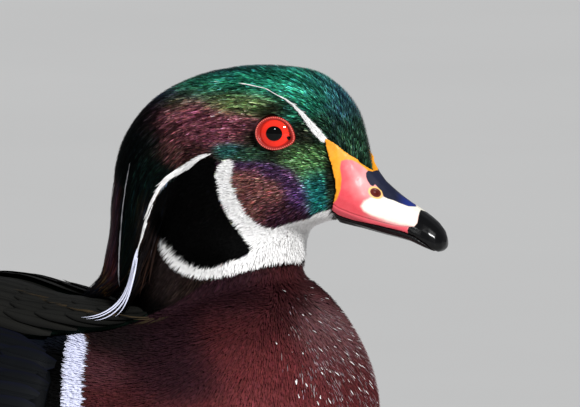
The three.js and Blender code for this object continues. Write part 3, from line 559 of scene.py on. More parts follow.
def remeshed(thing, voxel, smoothings, swell):
    """One closed surface over a piece, freed of its facets."""
    apply_modifier(thing, "DISPLACE", strength=swell * MM, mid_level=0)
    apply_modifier(thing, "REMESH", mode="VOXEL", voxel_size=voxel * MM, use_smooth_shade=True)
    apply_modifier(thing, "SMOOTH", factor=0.5, iterations=smoothings)
    return thing


# Materials
class Wire:
    """A number in a material that can be reckoned with: each operator adds its Math node."""

    def __init__(self, finish, socket):
        self.finish = finish
        self.socket = socket

    def math(self, operation, *others):
        return self.finish.add("ShaderNodeMath", {"operation": operation}, [self, *others])

    def __add__(self, other):
        return self.math("ADD", other)

    def __sub__(self, other):
        return self.math("SUBTRACT", other)

    def __mul__(self, other):
        return self.math("MULTIPLY", other)

    def __truediv__(self, other):
        return self.math("DIVIDE", other)

    def __rsub__(self, other):
        return self * -1 + other

    __radd__ = __add__
    __rmul__ = __mul__

    def sine(self):
        return self.math("SINE")

    def size(self):
        return self.math("ABSOLUTE")

    def step(self, low, high):
        """0 below low, 1 above high, smooth between them."""
        inputs = {"Value": self, "From Min": low, "From Max": high}
        return self.finish.add("ShaderNodeMapRange", {"interpolation_type": "SMOOTHSTEP"}, inputs)


class Finish:
    """A material whose nodes are added one by one."""

    def __init__(self, name, **constants):
        self.material = bpy.data.materials.new(name)
        self.material.use_nodes = True
        self.tree = self.material.node_tree
        self.shader = self.tree.nodes["Principled BSDF"]
        self.set(**constants)

    def add(self, kind, settings=None, inputs=(), out=0):
        node = self.tree.nodes.new(kind)
        for name, value in (settings or {}).items():
            setattr(node, name, value)
        for key, value in inputs.items() if isinstance(inputs, dict) else enumerate(inputs):
            self.feed(node.inputs[key], value)
        return Wire(self, node.outputs[out])

    def feed(self, socket, value):
        if isinstance(value, Wire):
            self.tree.links.new(value.socket, socket)
        else:
            socket.default_value = value

    def set(self, **inputs):
        for name, value in inputs.items():
            self.feed(self.shader.inputs[name.replace("_", " ")], value)

    def place(self):
        return self.add("ShaderNodeTexCoord", out="Object")

    def number(self, name):
        return self.add("ShaderNodeAttribute", {"attribute_name": name}, out="Fac")

    def colour(self, name):
        return self.add("ShaderNodeAttribute", {"attribute_name": name}, out="Color")

    def noise(self, scale, detail=3, stretch=(1, 1, 1)):
        """Noise whose lumps are 1 / scale metres across."""
        moved = self.add("ShaderNodeMapping", None, {"Vector": self.place(), "Scale": stretch})
        return self.add("ShaderNodeTexNoise", None, {"Vector": moved, "Scale": scale, "Detail": detail})

    def mix(self, share, a, b, blend="MIX"):
        settings = {"data_type": "RGBA", "blend_type": blend}
        a, b = [v if isinstance(v, Wire) else (*v, 1) for v in (a, b)]
        return self.add("ShaderNodeMix", settings, {0: share, 6: a, 7: b}, out=2)

    def shade(self, colour, factor):
        """A colour made lighter or darker by a number near 1."""
        grey = self.add("ShaderNodeCombineColor", None, [factor, factor, factor])
        return self.mix(1.0, colour, grey, "MULTIPLY")

    def vane(self):
        """A large feather by its own map: from shaft to edge, root to tip, its barbs and its shaft."""
        places = self.add("ShaderNodeUVMap", {"uv_map": "Vane"})
        across, along = (self.add("ShaderNodeSeparateXYZ", None, [places], out=k) for k in (0, 1))
        aside = across - 0.5
        barbs = (along * 210 - aside.size() * 60).sine() * 0.5 + 0.5
        return aside, along, barbs, 1 - aside.size().step(0.02, 0.06)

    def bump(self, height, depth):
        """Bump of a height that runs from 0 to 1, depth millimetres high. Gives back the material."""
        self.set(Normal=self.add("ShaderNodeBump", None, {"Height": height, "Distance": depth * MM}))
        return self.material


def plumage_finish():
    finish = Finish("plumage", Specular_IOR_Level=0.03)
    grain = finish.noise(900, 2)
    patches = finish.noise(120)
    colour = finish.shade(finish.colour("plumage"), 0.72 + grain * 0.36 + patches * 0.2)
    gloss = finish.number("gloss")
    finish.set(Base_Color=colour, Roughness=0.62 - gloss * 0.24, Metallic=gloss * 0.35)
    return finish.bump(grain, 0.12)


def feather_finish():
    finish = Finish("feather_vanes", Specular_IOR_Level=0.08)
    _, _, barbs, shaft = finish.vane()
    patches = finish.noise(160)
    colour = finish.shade(finish.colour("plumage"), 0.86 + barbs * 0.1 + patches * 0.2 - shaft * 0.25)
    gloss = finish.number("gloss")
    finish.set(Base_Color=colour, Roughness=0.6 - gloss * 0.22 + barbs * 0.04, Metallic=gloss * 0.3)
    return finish.bump(barbs * 0.3 + shaft, 0.15)


def flank_finish():
    """Sand feathers, finely barred with wavy dark lines."""
    finish = Finish("flank_vanes", Specular_IOR_Level=0.15)
    aside, along, barbs, shaft = finish.vane()
    wander = finish.noise(420)
    lines = ((along * 26 + aside * aside * 9 + wander * 3.2) * TURN).sine()
    colour = finish.shade(finish.colour("plumage"), 1.06 - lines.step(0.05, 0.6) * 0.72 + barbs * 0.06)
    finish.set(Base_Color=colour, Roughness=0.62 + barbs * 0.05)
    return finish.bump(barbs * 0.3 + shaft, 0.15)


# Markings of the plumage, changing at these places of the body
BREAST_END = -98
BELLY_FRONT, BELLY_TOP = -26, 86
BACK_FLOOR = 104
RUMP_FRONT, RUMP_TOP, UNDERTAIL_TOP = -196, 128, 104
BAR_FLOOR, BAR_INNER, BLACK_TOP = 84, 20, 150
NAPE_REAR = -92
NECK_FOOT = 172
OTHER_SIDE = 40  # how far the random lumps of the left side lie from those of the right


def body_marks(points, places):
    """Colour and gloss below the neck."""
    x, y, z = points.T
    colour = blended(places, BREAST_POOLS, CHESTNUT)
    behind = step(BREAST_END - x, 0, 2)
    belly = step(BELLY_TOP - z, 0, 12) * step(BELLY_FRONT - x, 0, 26)
    rump = step(RUMP_FRONT - x, 0, 10)
    side = step(np.abs(y) - BAR_INNER, 0, 4) * step(z - BAR_FLOOR, 0, 6)
    across = places[:, 0]
    black = step(across, *BAR_BLACK[0]) * (1 - step(across, *BAR_BLACK[1])) * step(BLACK_TOP - z, 0, 6)
    within = inside(places, BAR)
    bar = step(within, -0.8, 0.8) * side
    for share, above in (
        (behind, BUFF),
        (belly, BELLY),
        (step(z - BACK_FLOOR, 0, 8) * behind, BACK),
        (rump, RUMP_SIDE),
        (rump * step(z - RUMP_TOP, 0, 6), RUMP),
        (rump * step(UNDERTAIL_TOP - z, 0, 6), UNDERTAIL),
        (black * side, BLACK),
        (step(within, -2.6, -1.4) * step(across, *BAR_BROWN) * side, BAR_EDGE),
        (bar, LAVENDER),
    ):
        colour = over(colour, share, above)
    gloss = 0.3 * (1 - 0.7 * behind) * (1 - belly)
    return colour, np.clip(gloss * (1 - bar), 0, 1)


def marks(points):
    """Colour and gloss of the plumage at points: the same for skin and coat."""
    places = photo_place(points)
    colour = blended(places, HEAD_POOLS, BLACK)
    gloss = 0.2 + 0.6 * step(colour.max(1), 0.01, 0.05)
    dark = step(inside(places, BLACK_NECK), -1, 1)
    colour = over(colour, dark, BLACK)
    gloss *= 1 - 0.9 * dark
    white = step(inside(places, WHITE_THROAT), -0.7, 0.7)
    crown = step(along_line(places, CROWN_LINE), -0.4, 0.6) * step(places[:, 0], *CROWN_LINE_START)
    nape = step(along_line(places, NAPE_LINE[:NAPE_PAINTED]), -0.4, 0.6)
    white = np.maximum(np.maximum(white, crown), nape)
    colour = over(colour, white, WHITE)
    gloss *= 1 - white
    body = step(inside(places, BREAST_TOP), -1.5, 1.5) * (1 - white)
    back = step(NECK_FOOT + 3 - points[:, 2], 0, 4) * step(NAPE_REAR - points[:, 0], 0, 4)
    body = np.maximum(body, back)
    below, shine = body_marks(points, places)
    return over(colour, body, below), gloss * (1 - body) + shine * body


def heading(degrees):
    return math.cos(math.radians(degrees)), 0, math.sin(math.radians(degrees))


def lie(points):
    """Direction in which the plumage lies, not yet laid along the surface."""
    body = step(NECK_FOOT - points[:, 2], 0, 14)
    front = step(points[:, 0], -95, -10)
    below = np.stack([-1 + 0.7 * front, 0 * front, -0.25 - 0.75 * front], 1)
    ways = [(x, y, reach, reach, heading(turn)) for x, y, reach, turn in LIE_POOLS]
    return over(blended(photo_place(points), ways, heading(LIE_BASE)), body, below)


def streaks(points):
    """Strands of the crown and crest, lighter and darker, along arcs about the cheek."""
    away = photo_place(points) - CREST_ARCS
    reach = np.hypot(away[:, 0], away[:, 1])
    turn = np.arctan2(away[:, 1], away[:, 0])
    side = OTHER_SIDE * (points[:, 1] > 0)
    fine = lumpy(reach / 1.7 + side, turn * 7, 61)
    broad = lumpy(reach / 4.5 + side, turn * 4, 62)
    return (fine * 0.85 + broad * 0.35) * step(reach, 72, 96) * step(points[:, 2], 180, 192)


def clumps(points):
    """Lighter and darker clumps of a few tufts, different on the two sides."""
    places = photo_place(points) / 2.2 + OTHER_SIDE * (points[:, 1:2] > 0)
    return lumpy(places[:, 0], places[:, 1], 63)


def plumage_depth(points):
    return HEAD_DEPTH + (BODY_DEPTH - HEAD_DEPTH) * step(NECK_FOOT + 6 - points[:, 2], 0, 14)


# Skin
FLESH = ["head", "neck", "breast", "torso", "rump", "thigh_right", "thigh_left"]
FILLING = ["bill_upper", "eye_right", "eye_left"]
CREST_CORE = 0.8  # share of the crest's form that its core fills where only strands cover it
CORE_HEIGHTS = (190, 202)
SKIN_SWELL = 0.5
# Voxel, smoothings and swell of each piece that is freed of its facets
SKIN_MESH = (1.5, 4, SKIN_SWELL)
BILL_MESH = (0.36, 8, 0.2)
JAW_MESH = (0.34, 4, 0.1)
LEG_MESH = (0.5, 3, 0.16)


def crest_core():
    """A plain body for the crest's feathers to lie on."""
    core = added(bpy.ops.mesh.primitive_uv_sphere_add, segments=32, ring_count=40, radius=1)
    ahead, aside, up = read(core.data.vertices, "co", 3).T
    share = np.arccos(np.clip(up, -1, 1)) / math.pi
    height = CREST[0][0] + (CREST[-3][0] - CREST[0][0]) * share
    back, front, half = looked_up(CREST, height)
    close = np.interp(height, CORE_HEIGHTS, [CREST_CORE, 1]) * np.minimum(1, 3 * np.sqrt(1 - share))
    close = close / np.maximum(np.hypot(ahead, aside), 1e-9)
    x = (back + front) / 2 + (front - back) / 2 * ahead * close
    move_points(core, np.stack([x, half * aside * close, height], 1))
    return core


def make_skin():
    """One skin over all the flesh, without a seam, under the plumage by its depth."""
    skin = copy_of("skin", *FLESH, *FILLING)
    joined("skin", [skin, crest_core()])
    remeshed(skin, *SKIN_MESH)
    points = points_of(skin)
    depth = SKIN_SWELL + plumage_depth(points)
    move_points(skin, points - normals_of(skin) * depth[:, None])
    apply_modifier(skin, "SMOOTH", factor=0.5, iterations=3)
    skin.data.uv_layers.new(name="OFBake")
    in_edit_mode(skin, bpy.ops.uv.smart_project, angle_limit=math.radians(66), island_margin=0.002)
    return skin


class Surface:
    """What feathers lie on, as arrays: points, which way each faces, and triangles."""

    def __init__(self, points, normals, corners):
        self.points = points
        self.normals = normals
        self.corners = corners
        self.tree = BVHTree.FromPolygons(points.tolist(), corners.tolist())

    def nearest(self, points):
        """The nearest places of the surface, and which way it faces there."""
        found = [self.tree.find_nearest(p) for p in points.tolist()]
        places = np.array([f[0] for f in found])
        normals = self.normals[self.corners[[f[2] for f in found]]].mean(1)
        return places, unit(normals)

    def shown(self, points):
        """What the camera's rays through points meet, or None for each that passes by."""
        starts = (points + TO_CAMERA * RAY_START).tolist()
        return [self.tree.ray_cast(Vector(p), Vector(-TO_CAMERA))[0] for p in starts]

    def paths(self, roots, way, length, stations):
        """Paths along the surface, of stations places, and its normals there: way(places) leads on."""
        place, normal = self.nearest(roots)
        stops = [(place, normal)]
        stride = np.reshape(length, (-1, 1)) / (stations - 1)
        for _ in range(stations - 1):
            ahead = way(place)
            ahead = unit(ahead - normal * (ahead * normal).sum(1)[:, None])
            place, normal = self.nearest(place + ahead * stride)
            stops.append((place, normal))
        return np.stack([p for p, _ in stops], 1), np.stack([n for _, n in stops], 1)


class Ground(Surface):
    """The skin, for the coat to stand on."""

    def __init__(self, skin):
        super().__init__(points_of(skin), normals_of(skin), triangles_of(skin))
        a, b, c = (self.points[self.corners[:, k]] for k in range(3))
        self.areas = np.linalg.norm(np.cross(b - a, c - a), axis=1) / 2
        self.uv = read(skin.data.uv_layers["OFBake"].uv, "vector", 2)[triangles_of(skin, "loops")]

    def scatter(self, spacing, wanted, seed):
        """About one root to each square of spacing, where wanted(points) is true."""
        random = np.random.default_rng(seed)
        area = np.where(wanted(self.points[self.corners].mean(1)), self.areas, 0)
        count = int(6 * area.sum() / spacing**2)
        face = random.choice(len(area), count, p=area / area.sum())
        r, s = random.random((2, count))
        flip = r + s > 1
        r, s = np.where(flip, 1 - r, r), np.where(flip, 1 - s, s)
        share = np.stack([1 - r - s, r, s], 1)[..., None]
        points = (self.points[self.corners[face]] * share).sum(1)
        cell = np.floor((points + random.random(3)) / spacing / 0.86).astype(int)
        first = np.sort(np.unique(cell, axis=0, return_index=True)[1])
        return points[first], (self.uv[face[first]] * share[first]).sum(1)

    def map_at(self, points):
        """Where the skin next to each point lies on its map."""
        return self.uv[[self.tree.find_nearest(p)[2] for p in points.tolist()]].mean(1)


# Tufts
TUFT_PATCH = 0.003  # how much of the OFBake map a tuft takes
TUFT_PROFILE = np.array([0.7, 1, 0.9, 0.25])
TUFT_ARCH = 0.15
TUFT_SUNK = 0.3  # how deep a tuft's root lies in the skin
COVERED = 3.6  # no tuft grows where another piece lies this near above


def vane_quads(count, stations, columns):
    """Faces of count grids of points, stations long and columns wide."""
    i, j = np.meshgrid(np.arange(stations - 1), np.arange(columns - 1), indexing="ij")
    corner = (i * columns + j).ravel()
    grid = np.stack([corner, corner + 1, corner + columns + 1, corner + columns], 1)
    start = np.arange(count) * stations * columns
    return (start[:, None, None] + grid[None]).reshape(-1, 4)


def vane_points(centre, normal, half, camber, columns):
    """Grids of points about middle lines: each vane is half wide at each station, and arched."""
    along = unit(np.gradient(centre, axis=1))
    aside = unit(np.cross(normal, along))
    across = np.linspace(-1, 1, columns)
    sideways = aside[:, :, None] * (half[..., None] * across)[..., None]
    arch = normal[:, :, None] * (camber * half[..., None] * (1 - across**2))[..., None]
    return centre[:, :, None] + sideways + arch


def spread_over(profile, share):
    """A profile of evenly spaced values at each share of the way."""
    return np.interp(share, np.linspace(0, 1, len(profile)), profile)


def tufts(name, grid, colour, gloss, uv):
    """Narrow vanes from grids of points, each a small patch of the map at its root's place uv."""
    count, stations, columns, _ = grid.shape
    piece = mesh_piece(name, grid.reshape(-1, 3), vane_quads(count, stations, columns))
    paint_points(piece, "plumage", np.broadcast_to(colour, grid.shape).reshape(-1, 3))
    paint_points(piece, "gloss", np.broadcast_to(gloss, grid.shape[:3]).ravel())
    across, along = np.meshgrid(np.linspace(-0.5, 0.5, columns), np.linspace(-0.5, 0.5, stations))
    patch = np.stack([across.ravel(), along.ravel()], 1) * TUFT_PATCH
    map_points(piece, "OFBake", np.clip((uv[:, None] + patch[None]).reshape(-1, 2), 0, 1))
    return piece


def on_both_sides(grid):
    return np.concatenate([grid, (grid * (1, -1, 1))[:, :, ::-1]])


def joined_surface(things, rise=lambda points: np.zeros(len(points))):
    """Several pieces as one surface, raised along the way that each point faces."""
    points, normals, corners = [], [], []
    start = 0
    for thing in things:
        own, facing = points_of(thing), normals_of(thing)
        points.append(own + facing * rise(own)[:, None])
        normals.append(facing)
        corners.append(triangles_of(thing) + start)
        start += len(own)
    return Surface(*(np.concatenate(part) for part in (points, normals, corners)))


def uncovered(points, normals, cover):
    """Roots from which no other piece is met, outwards."""
    starts = (points - normals * 0.2).tolist()
    hits = [cover.tree.ray_cast(Vector(p), Vector(n), COVERED)[0] for p, n in zip(starts, normals.tolist())]
    return np.array([hit is None for hit in hits])


def coat(
    name, ground, cover, wanted, spacing, seed, length, width, depth,
    stations=4, spread=0.22, clumped=0.0, hues=0.05, shadow=0.6, paint=marks,
):
    """Small vanes over a part of the skin, each of one colour, a little darker at its root.

    The length is a number or is worked out at each root. The width has a fixed share and one that
    grows with the length."""
    random = np.random.default_rng(seed)
    points, uv = ground.scatter(spacing, wanted, seed)
    free = uncovered(*ground.nearest(points), cover)
    points, uv = points[free], uv[free]
    count = len(points)
    natural = length(points) if callable(length) else np.full(count, length)
    path, normal = ground.paths(points, lie, natural * random.uniform(0.8, 1.2, count), stations)
    share = np.linspace(0, 1, stations)
    lift = depth * random.uniform(0.75, 1.15, count)
    height = -TUFT_SUNK + (lift + TUFT_SUNK)[:, None] * share**0.8
    wide = (width[0] + width[1] * natural) / 2 * random.uniform(0.8, 1.2, count)
    half = wide[:, None] * spread_over(TUFT_PROFILE, share)
    grid = vane_points(path + normal * height[..., None], normal, half, TUFT_ARCH, 2)
    colour, gloss = paint(path[:, -2] * 0.4 + path[:, -1] * 0.6)
    dull = 0.05 + 0.95 * (colour.mean(1) < 0.5)
    tone = random.normal(0, spread, count) + streaks(path[:, -1]) + clumped * clumps(points)
    tint = np.exp(tone * dull - (spread**2 + clumped**2 * 0.3) / 2 * dull)
    hue = np.exp(random.normal(0, hues, (count, 3)) * dull[:, None])
    # Painted shade and light: each tuft darker towards its root and a little lighter at its tip
    fade = np.interp(share, [0, 0.6, 1], [shadow, 1, 1.12]) ** dull[:, None]
    tints = np.minimum(colour[:, None] * (tint[:, None] * hue)[:, None] * fade[..., None], 0.95)
    return tufts(name, grid, tints[:, :, None], gloss[:, None, None], uv)


# Parts of the coat
FACE_FLOOR = 186
CROWN_FLOOR = 226
NECK_FLOOR = 150
NAPE_FRONT = -58
BREAST_BACK = -104
COAT_END = 198  # below this height only strands cover the crest
CREST_CLEAR = 0.86  # share of the crest's form within which no tufts grow
HEAD_REAR, NECK_REAR = -112, -108
UPPER_FLOOR, LOWER_TOP = 128, 136  # the two coats of the breast overlap between these heights


def head_length(points):
    pools = [(*place, (length,)) for *place, length in LENGTH_POOLS]
    return blended(photo_place(points), pools, (LENGTH_BASE,))[:, 0]


def in_crest(points):
    back, front, half = looked_up(CREST, points[:, 2])
    long = (points[:, 0] - (back + front) / 2) / ((front - back) / 2)
    return np.hypot(long, points[:, 1] / np.maximum(half, 1)) < CREST_CLEAR


def is_head(points):
    covered = in_crest(points) & (points[:, 2] < COAT_END)
    return (points[:, 2] > FACE_FLOOR) & (points[:, 0] > HEAD_REAR) & ~covered


def is_crown(points):
    return is_head(points) & (points[:, 2] > CROWN_FLOOR)


def is_face(points):
    return is_head(points) & (points[:, 2] <= CROWN_FLOOR) & (points[:, 0] > NAPE_FRONT)


def is_nape(points):
    return is_head(points) & (points[:, 2] <= CROWN_FLOOR) & (points[:, 0] <= NAPE_FRONT)


def is_neck(points):
    above = (inside(photo_place(points), BREAST_TOP) < 0) & (points[:, 2] > NECK_FLOOR)
    return above & (points[:, 2] <= FACE_FLOOR) & (points[:, 0] > NECK_REAR)


def is_below(points):
    return (points[:, 2] <= FACE_FLOOR) & ~is_neck(points)


def is_breast(points):
    return is_below(points) & (points[:, 0] > BREAST_BACK)


def is_upper_breast(points):
    return is_breast(points) & (points[:, 2] > UPPER_FLOOR)


def is_lower_breast(points):
    return is_breast(points) & (points[:, 2] <= LOWER_TOP)


def is_body(points):
    return is_below(points) & (points[:, 0] <= BREAST_BACK)


def spots_and_sheen_share(points):
    """Where white spots and pale streaks of painted sheen show on the front of the breast, 0 to 1."""
    x, y = photo_place(points).T
    return step(x, *SPOTS_AND_SHEEN_ACROSS) * step(y, *SPOTS_AND_SHEEN_DOWN) * step(points[:, 2], 84, 100) * is_breast(points)


def is_spotted(points):
    return np.random.default_rng(81).random(len(points)) < spots_and_sheen_share(points)


# Pale streaks of painted sheen, in patches over the front of the breast
def is_sheen_streaked(points):
    patches = 0.5 + 0.5 * lumpy(*(photo_place(points) / 11).T, 83)
    return np.random.default_rng(82).random(len(points)) < spots_and_sheen_share(points) ** 1.5 * patches**1.5


def plain_paint(colour, gloss):
    return lambda points: (np.tile(colour, (len(points), 1)), np.full(len(points), gloss))


# Bill, its markings as pixels of the photograph
BILL_EDGE = [
    (322.5, 136.5), (331, 138.5), (340, 143), (352, 151), (366, 161.5), (377.5, 171.5), (385, 150),
    (500, 200), (500, 300), (420, 275), (405, 238), (396, 234.5), (377.5, 229.5), (352.5, 223), (337, 218.5),
    (331, 216), (330, 211), (331, 205), (333, 199), (334.5, 190), (332, 180), (329, 165), (325, 150),
]
INNER_BILL = [
    (331, 205), (337, 199), (340.5, 189), (341.5, 178), (340, 168), (341, 161), (346, 159.5), (352, 160),
    (359, 163.5), (366, 169), (372, 174.5), (380, 184), (400, 195), (480, 220), (480, 280), (330, 240),
]
CREAM = [
    (361, 206), (364, 201), (370, 198.5), (380, 199), (387, 196.5), (395, 200), (402, 204), (411, 206.5),
    (416, 204), (424, 210), (420, 213), (418, 216), (417, 222), (414, 225.5), (404, 224.5), (394, 222),
    (384, 219), (372, 215), (364, 211),
]
CULMEN = [
    (365.7, 173), (368, 170.3), (373, 171.5), (379, 165), (400, 180), (424, 206.5), (415, 206.7),
    (408, 206.3), (400, 203.3), (394, 200.8), (387, 198.5), (383.5, 196.5), (381.5, 191), (378, 187.6),
    (375, 184.5), (373, 186.5), (370.3, 185.2), (367.5, 181), (366, 177),
]
NAIL = [
    (422, 207), (419, 213), (418, 217), (417, 223), (414, 226.5), (409, 226.5), (407, 230), (409, 240),
    (440, 265), (470, 240), (440, 205),
]
LIP = [
    (331, 203), (338, 208), (350, 213), (362, 217), (378, 221.5), (394, 225.5), (408, 227), (409, 240),
    (380, 232), (352, 222), (335, 218),
]
NOSTRIL = (375.5, 192.6)
NOSTRIL_TURN = np.array([[0.88, -0.47], [0.47, 0.88]])
NOSTRIL_SIZE = (6.1, 4.5)
PINK_START, PINK_RISE = (336, 370), (182, 212)  # where the pink turns pale, partly its own paler patch and partly a painted highlight, and later lower down
# Where the painted blue sheen on the culmen starts
CULMEN_SHEEN_START = 394
BILL_CUT = -19
BILL_DEPTH, BILL_SUNK = 0.12, 2.2


def make_bill():
    """The upper bill, flush with the plumage at its margin and sunk under it beyond."""
    bill = copy_of("bill", "bill_upper", "head")
    cut = {"plane_co": framed((BILL_CUT, 0, 0)), "plane_no": (1, 0, 0)}
    in_edit_mode(bill, bpy.ops.mesh.bisect, use_fill=True, clear_inner=True, **cut)
    remeshed(bill, *BILL_MESH)
    points = points_of(bill) - normals_of(bill) * BILL_DEPTH
    beyond = step(-inside(photo_place(points), BILL_EDGE), -0.5, 3.5)
    points = points - normals_of(bill) * (BILL_SUNK * beyond)[:, None]
    move_points(bill, points)
    places = photo_place(points)
    outlines = {"inner": INNER_BILL, "cream": CREAM, "culmen": CULMEN, "nail": NAIL, "lip": LIP}
    for name, outline in outlines.items():
        paint_points(bill, name, inside(places, outline))
    away = (places - NOSTRIL) @ NOSTRIL_TURN / NOSTRIL_SIZE
    side = np.abs(points[:, 1]) > 1.5
    paint_points(bill, "nostril", np.where(side, np.hypot(away[:, 0], away[:, 1]), 9))
    paint_points(bill, "back", places[:, 0])
    paint_points(bill, "down", places[:, 1])
    return bill


def bill_finish():
    finish = Finish("bill_keratin", Coat_Roughness=0.3, Coat_IOR=1.4, Specular_IOR_Level=0.3)
    mottle = finish.noise(700, 4)
    veins = finish.noise(260, 5)
    wander = (veins - 0.5) * 3

    def within(name, low, high, ragged):
        """1 inside a marking, 0 outside it, with a ragged edge between low and high."""
        return (finish.number(name) + wander * ragged).step(low, high)

    orange = finish.mix(mottle, linear("f08a10"), linear("ffb42a"))
    deep = finish.mix(mottle, linear("ea4450"), linear("f65e68"))
    # The pale pink is partly the bill's own paler patch and partly a painted highlight
    pale = finish.mix(veins, linear("ee8d90"), linear("f6b4b2"))
    back = finish.number("back")
    low = finish.number("down").step(*PINK_RISE) * 20
    pink = finish.mix((back + wander * 3 - low).step(*PINK_START), deep, pale)
    pink = finish.mix(within("lip", -1.5, 1.5, 0.4), pink, linear("ec5c68"))
    groove = 1 - (finish.number("lip") / 1.1).size().step(0.2, 1)
    # Painted shade in the groove above the lip
    pink = finish.shade(pink, 1 - groove * 0.12)
    colour = finish.mix(within("inner", -0.9, 0.9, 0.4), orange, pink)
    cream = finish.mix(mottle, linear("fff6dc"), linear("fffdf4"))
    colour = finish.mix(within("cream", -2.5, 1.5, 1), colour, cream)
    hole = finish.number("nostril")
    ring = hole.step(0.85, 1.0) * (1 - hole.step(1.15, 1.4))
    colour = finish.mix(ring, colour, linear("f2c878"))
    dark = within("culmen", -0.4, 0.5, 0.3)
    # Painted sheen: the culmen's navy turns bright blue towards the front
    blue = finish.mix((back - CULMEN_SHEEN_START).step(0, 16), linear("131830"), linear("182c7c"))
    colour = finish.mix(dark, colour, blue)
    nail = within("nail", -0.4, 0.4, 0.2)
    colour = finish.mix(nail, colour, linear("030304"))
    # Painted shade: the nostril's opening is dark brown-red
    colour = finish.mix(1 - hole.step(0.85, 1.05), colour, linear("5a1408"))
    wet = (0.06 + veins.step(0.5, 0.6) * 0.3) * (1 - nail)
    finish.set(Base_Color=colour, Roughness=0.5 + mottle * 0.1 - nail * 0.34, Coat_Weight=wet)
    return finish.bump(mottle * 0.5 + veins - groove * 2 + dark * 0.5, 0.07)


def grainy_finish(name, dark, light, grain, roughness, rougher, height, **constants):
    """Two colours mixed by a fine grain, which also roughens and lifts the surface."""
    finish = Finish(name, **constants)
    grain = finish.noise(*grain)
    colour = finish.mix(grain, linear(dark), linear(light))
    finish.set(Base_Color=colour, Roughness=roughness + grain * rougher)
    return finish.bump(grain, height)


# Eyes and lids
def eye_axes(side):
    """Place, aim, and the directions ahead and up of an eye's opening."""
    mirrored = np.array([1, side, 1])
    aim = unit(EYE_AIM * mirrored)
    up = unit(np.array([0, 0, 1]) - aim * aim[2])
    ahead = -side * np.cross(up, aim)
    return EYE_PLACE * mirrored, aim, ahead, up


def make_eye(side, word):
    place, aim, ahead, up = eye_axes(side)
    eye = added(bpy.ops.mesh.primitive_uv_sphere_add, segments=64, ring_count=72, radius=EYE_RADIUS)
    eye.name = eye.data.name = f"eyeball_{word}"
    bpy.ops.object.shade_smooth()
    centre = place - aim * math.sqrt(EYE_RADIUS**2 - EYE_OPENING**2)
    turned = read(eye.data.vertices, "co", 3) @ np.stack([ahead, -side * up, aim])
    ahead_of, above = turned @ ahead - PUPIL_AHEAD, turned @ up
    toward = np.where(turned @ aim > 0, 1, 5)
    corner = ahead_of + PUPIL_AHEAD - 5.5
    move_points(eye, centre + turned)
    paint_points(eye, "pupil", np.hypot(ahead_of / 1.13, above) * toward)
    paint_points(eye, "iris", np.hypot(ahead_of / 1.08, above) * toward)
    paint_points(eye, "turn", np.arctan2(above, ahead_of))
    paint_points(eye, "corner", np.hypot(corner / 1.5, above + 1.7 + corner * 0.4) * toward)
    return eye


def eye_finish():
    glass = {"Coat_Weight": 1.0, "Coat_Roughness": 0.05, "Coat_IOR": 1.3}
    finish = Finish("eye_glass", Specular_IOR_Level=0.0, Roughness=0.4, **glass)
    reach = finish.number("iris")
    rays = (finish.number("turn") * 90 + reach * 3).sine() * 0.5 + 0.5
    fibre = finish.noise(1600)
    red = finish.mix(rays * 0.5 + fibre * 0.5, linear("d41c12"), linear("ff3a28"))
    red = finish.shade(red, 0.95 + reach.step(2.2, 3.4) * 0.3 - reach.step(4, 4.6) * 0.5)
    colour = finish.mix(finish.number("pupil").step(2.42, 2.54), linear("020202"), red)
    colour = finish.mix(reach.step(4.9, 5.15), colour, linear("240604"))
    colour = finish.mix(1 - finish.number("corner").step(0.7, 0.85), colour, linear("020202"))
    finish.set(Base_Color=colour)
    return finish.material


def lid_path(side, steps, wider=0.0):
    """The middle line of the lids, drawn out at the eye's front corner."""
    place, aim, ahead, up = eye_axes(side)
    a = np.linspace(0, 2 * math.pi, steps, endpoint=False)
    corner = np.maximum(0, np.cos(a + 0.35)) ** 8
    along = (5.9 + wider + 0.9 * corner) * np.cos(a)
    rise = (5 + wider) * np.sin(a) - 0.5 * corner
    return place + np.outer(along, ahead) + np.outer(rise, up), aim


def tube(name, path, aim, radius, around):
    """A closed ring of round section."""
    along = unit(np.roll(path, -1, axis=0) - np.roll(path, 1, axis=0))
    outwards = unit(np.cross(along, aim))
    above = np.cross(outwards, along)
    turn = np.linspace(0, TURN, around, endpoint=False)
    ring = np.cos(turn)[:, None] * outwards[:, None] + np.sin(turn)[:, None] * above[:, None]
    points = (path[:, None] + radius * ring).reshape(-1, 3)
    return mesh_piece(name, points, ring_quads(len(path), around, closed=True))


def make_lid(side, word):
    """A fleshy ring, with a thinner one inside it that touches the eye."""
    path, aim = lid_path(side, 96)
    lid = tube("lid", path, aim, LID_TUBE * 0.8, 14)
    inner, _ = lid_path(side, 96, -0.6)
    rim = tube("rim", inner - aim * 0.1, aim, 0.36, 10)
    joined(f"lids_{word}", [lid, rim])
    bpy.ops.object.shade_smooth()
    face_out(lid)
    return lid


def make_beads(side, word):
    """The row of beads along the edge of the lids."""
    bead = added(bpy.ops.mesh.primitive_ico_sphere_add, subdivisions=2, radius=BEAD_RADIUS)
    form = read(bead.data.vertices, "co", 3)
    around, aim = lid_path(side, BEADS, 0.3)
    beads = [bead] + [copy_linked(bead) for _ in range(BEADS - 1)]
    for bead, place in zip(beads, around + aim * LID_TUBE * 0.6):
        move_points(bead, place + form)
    row = joined(f"lid_beads_{word}", beads)
    bpy.ops.object.shade_smooth()
    return row


# Light lines, laid feather by feather
STRAND_CLEAR = 0.9
STRAND_SHAPE = ([0, 0.25, 0.65, 0.88, 1], [0.5, 1, 0.95, 0.5, 0.08])
LINE_PROFILE = [0.6, 1, 1, 0.85, 0.55, 0.08]


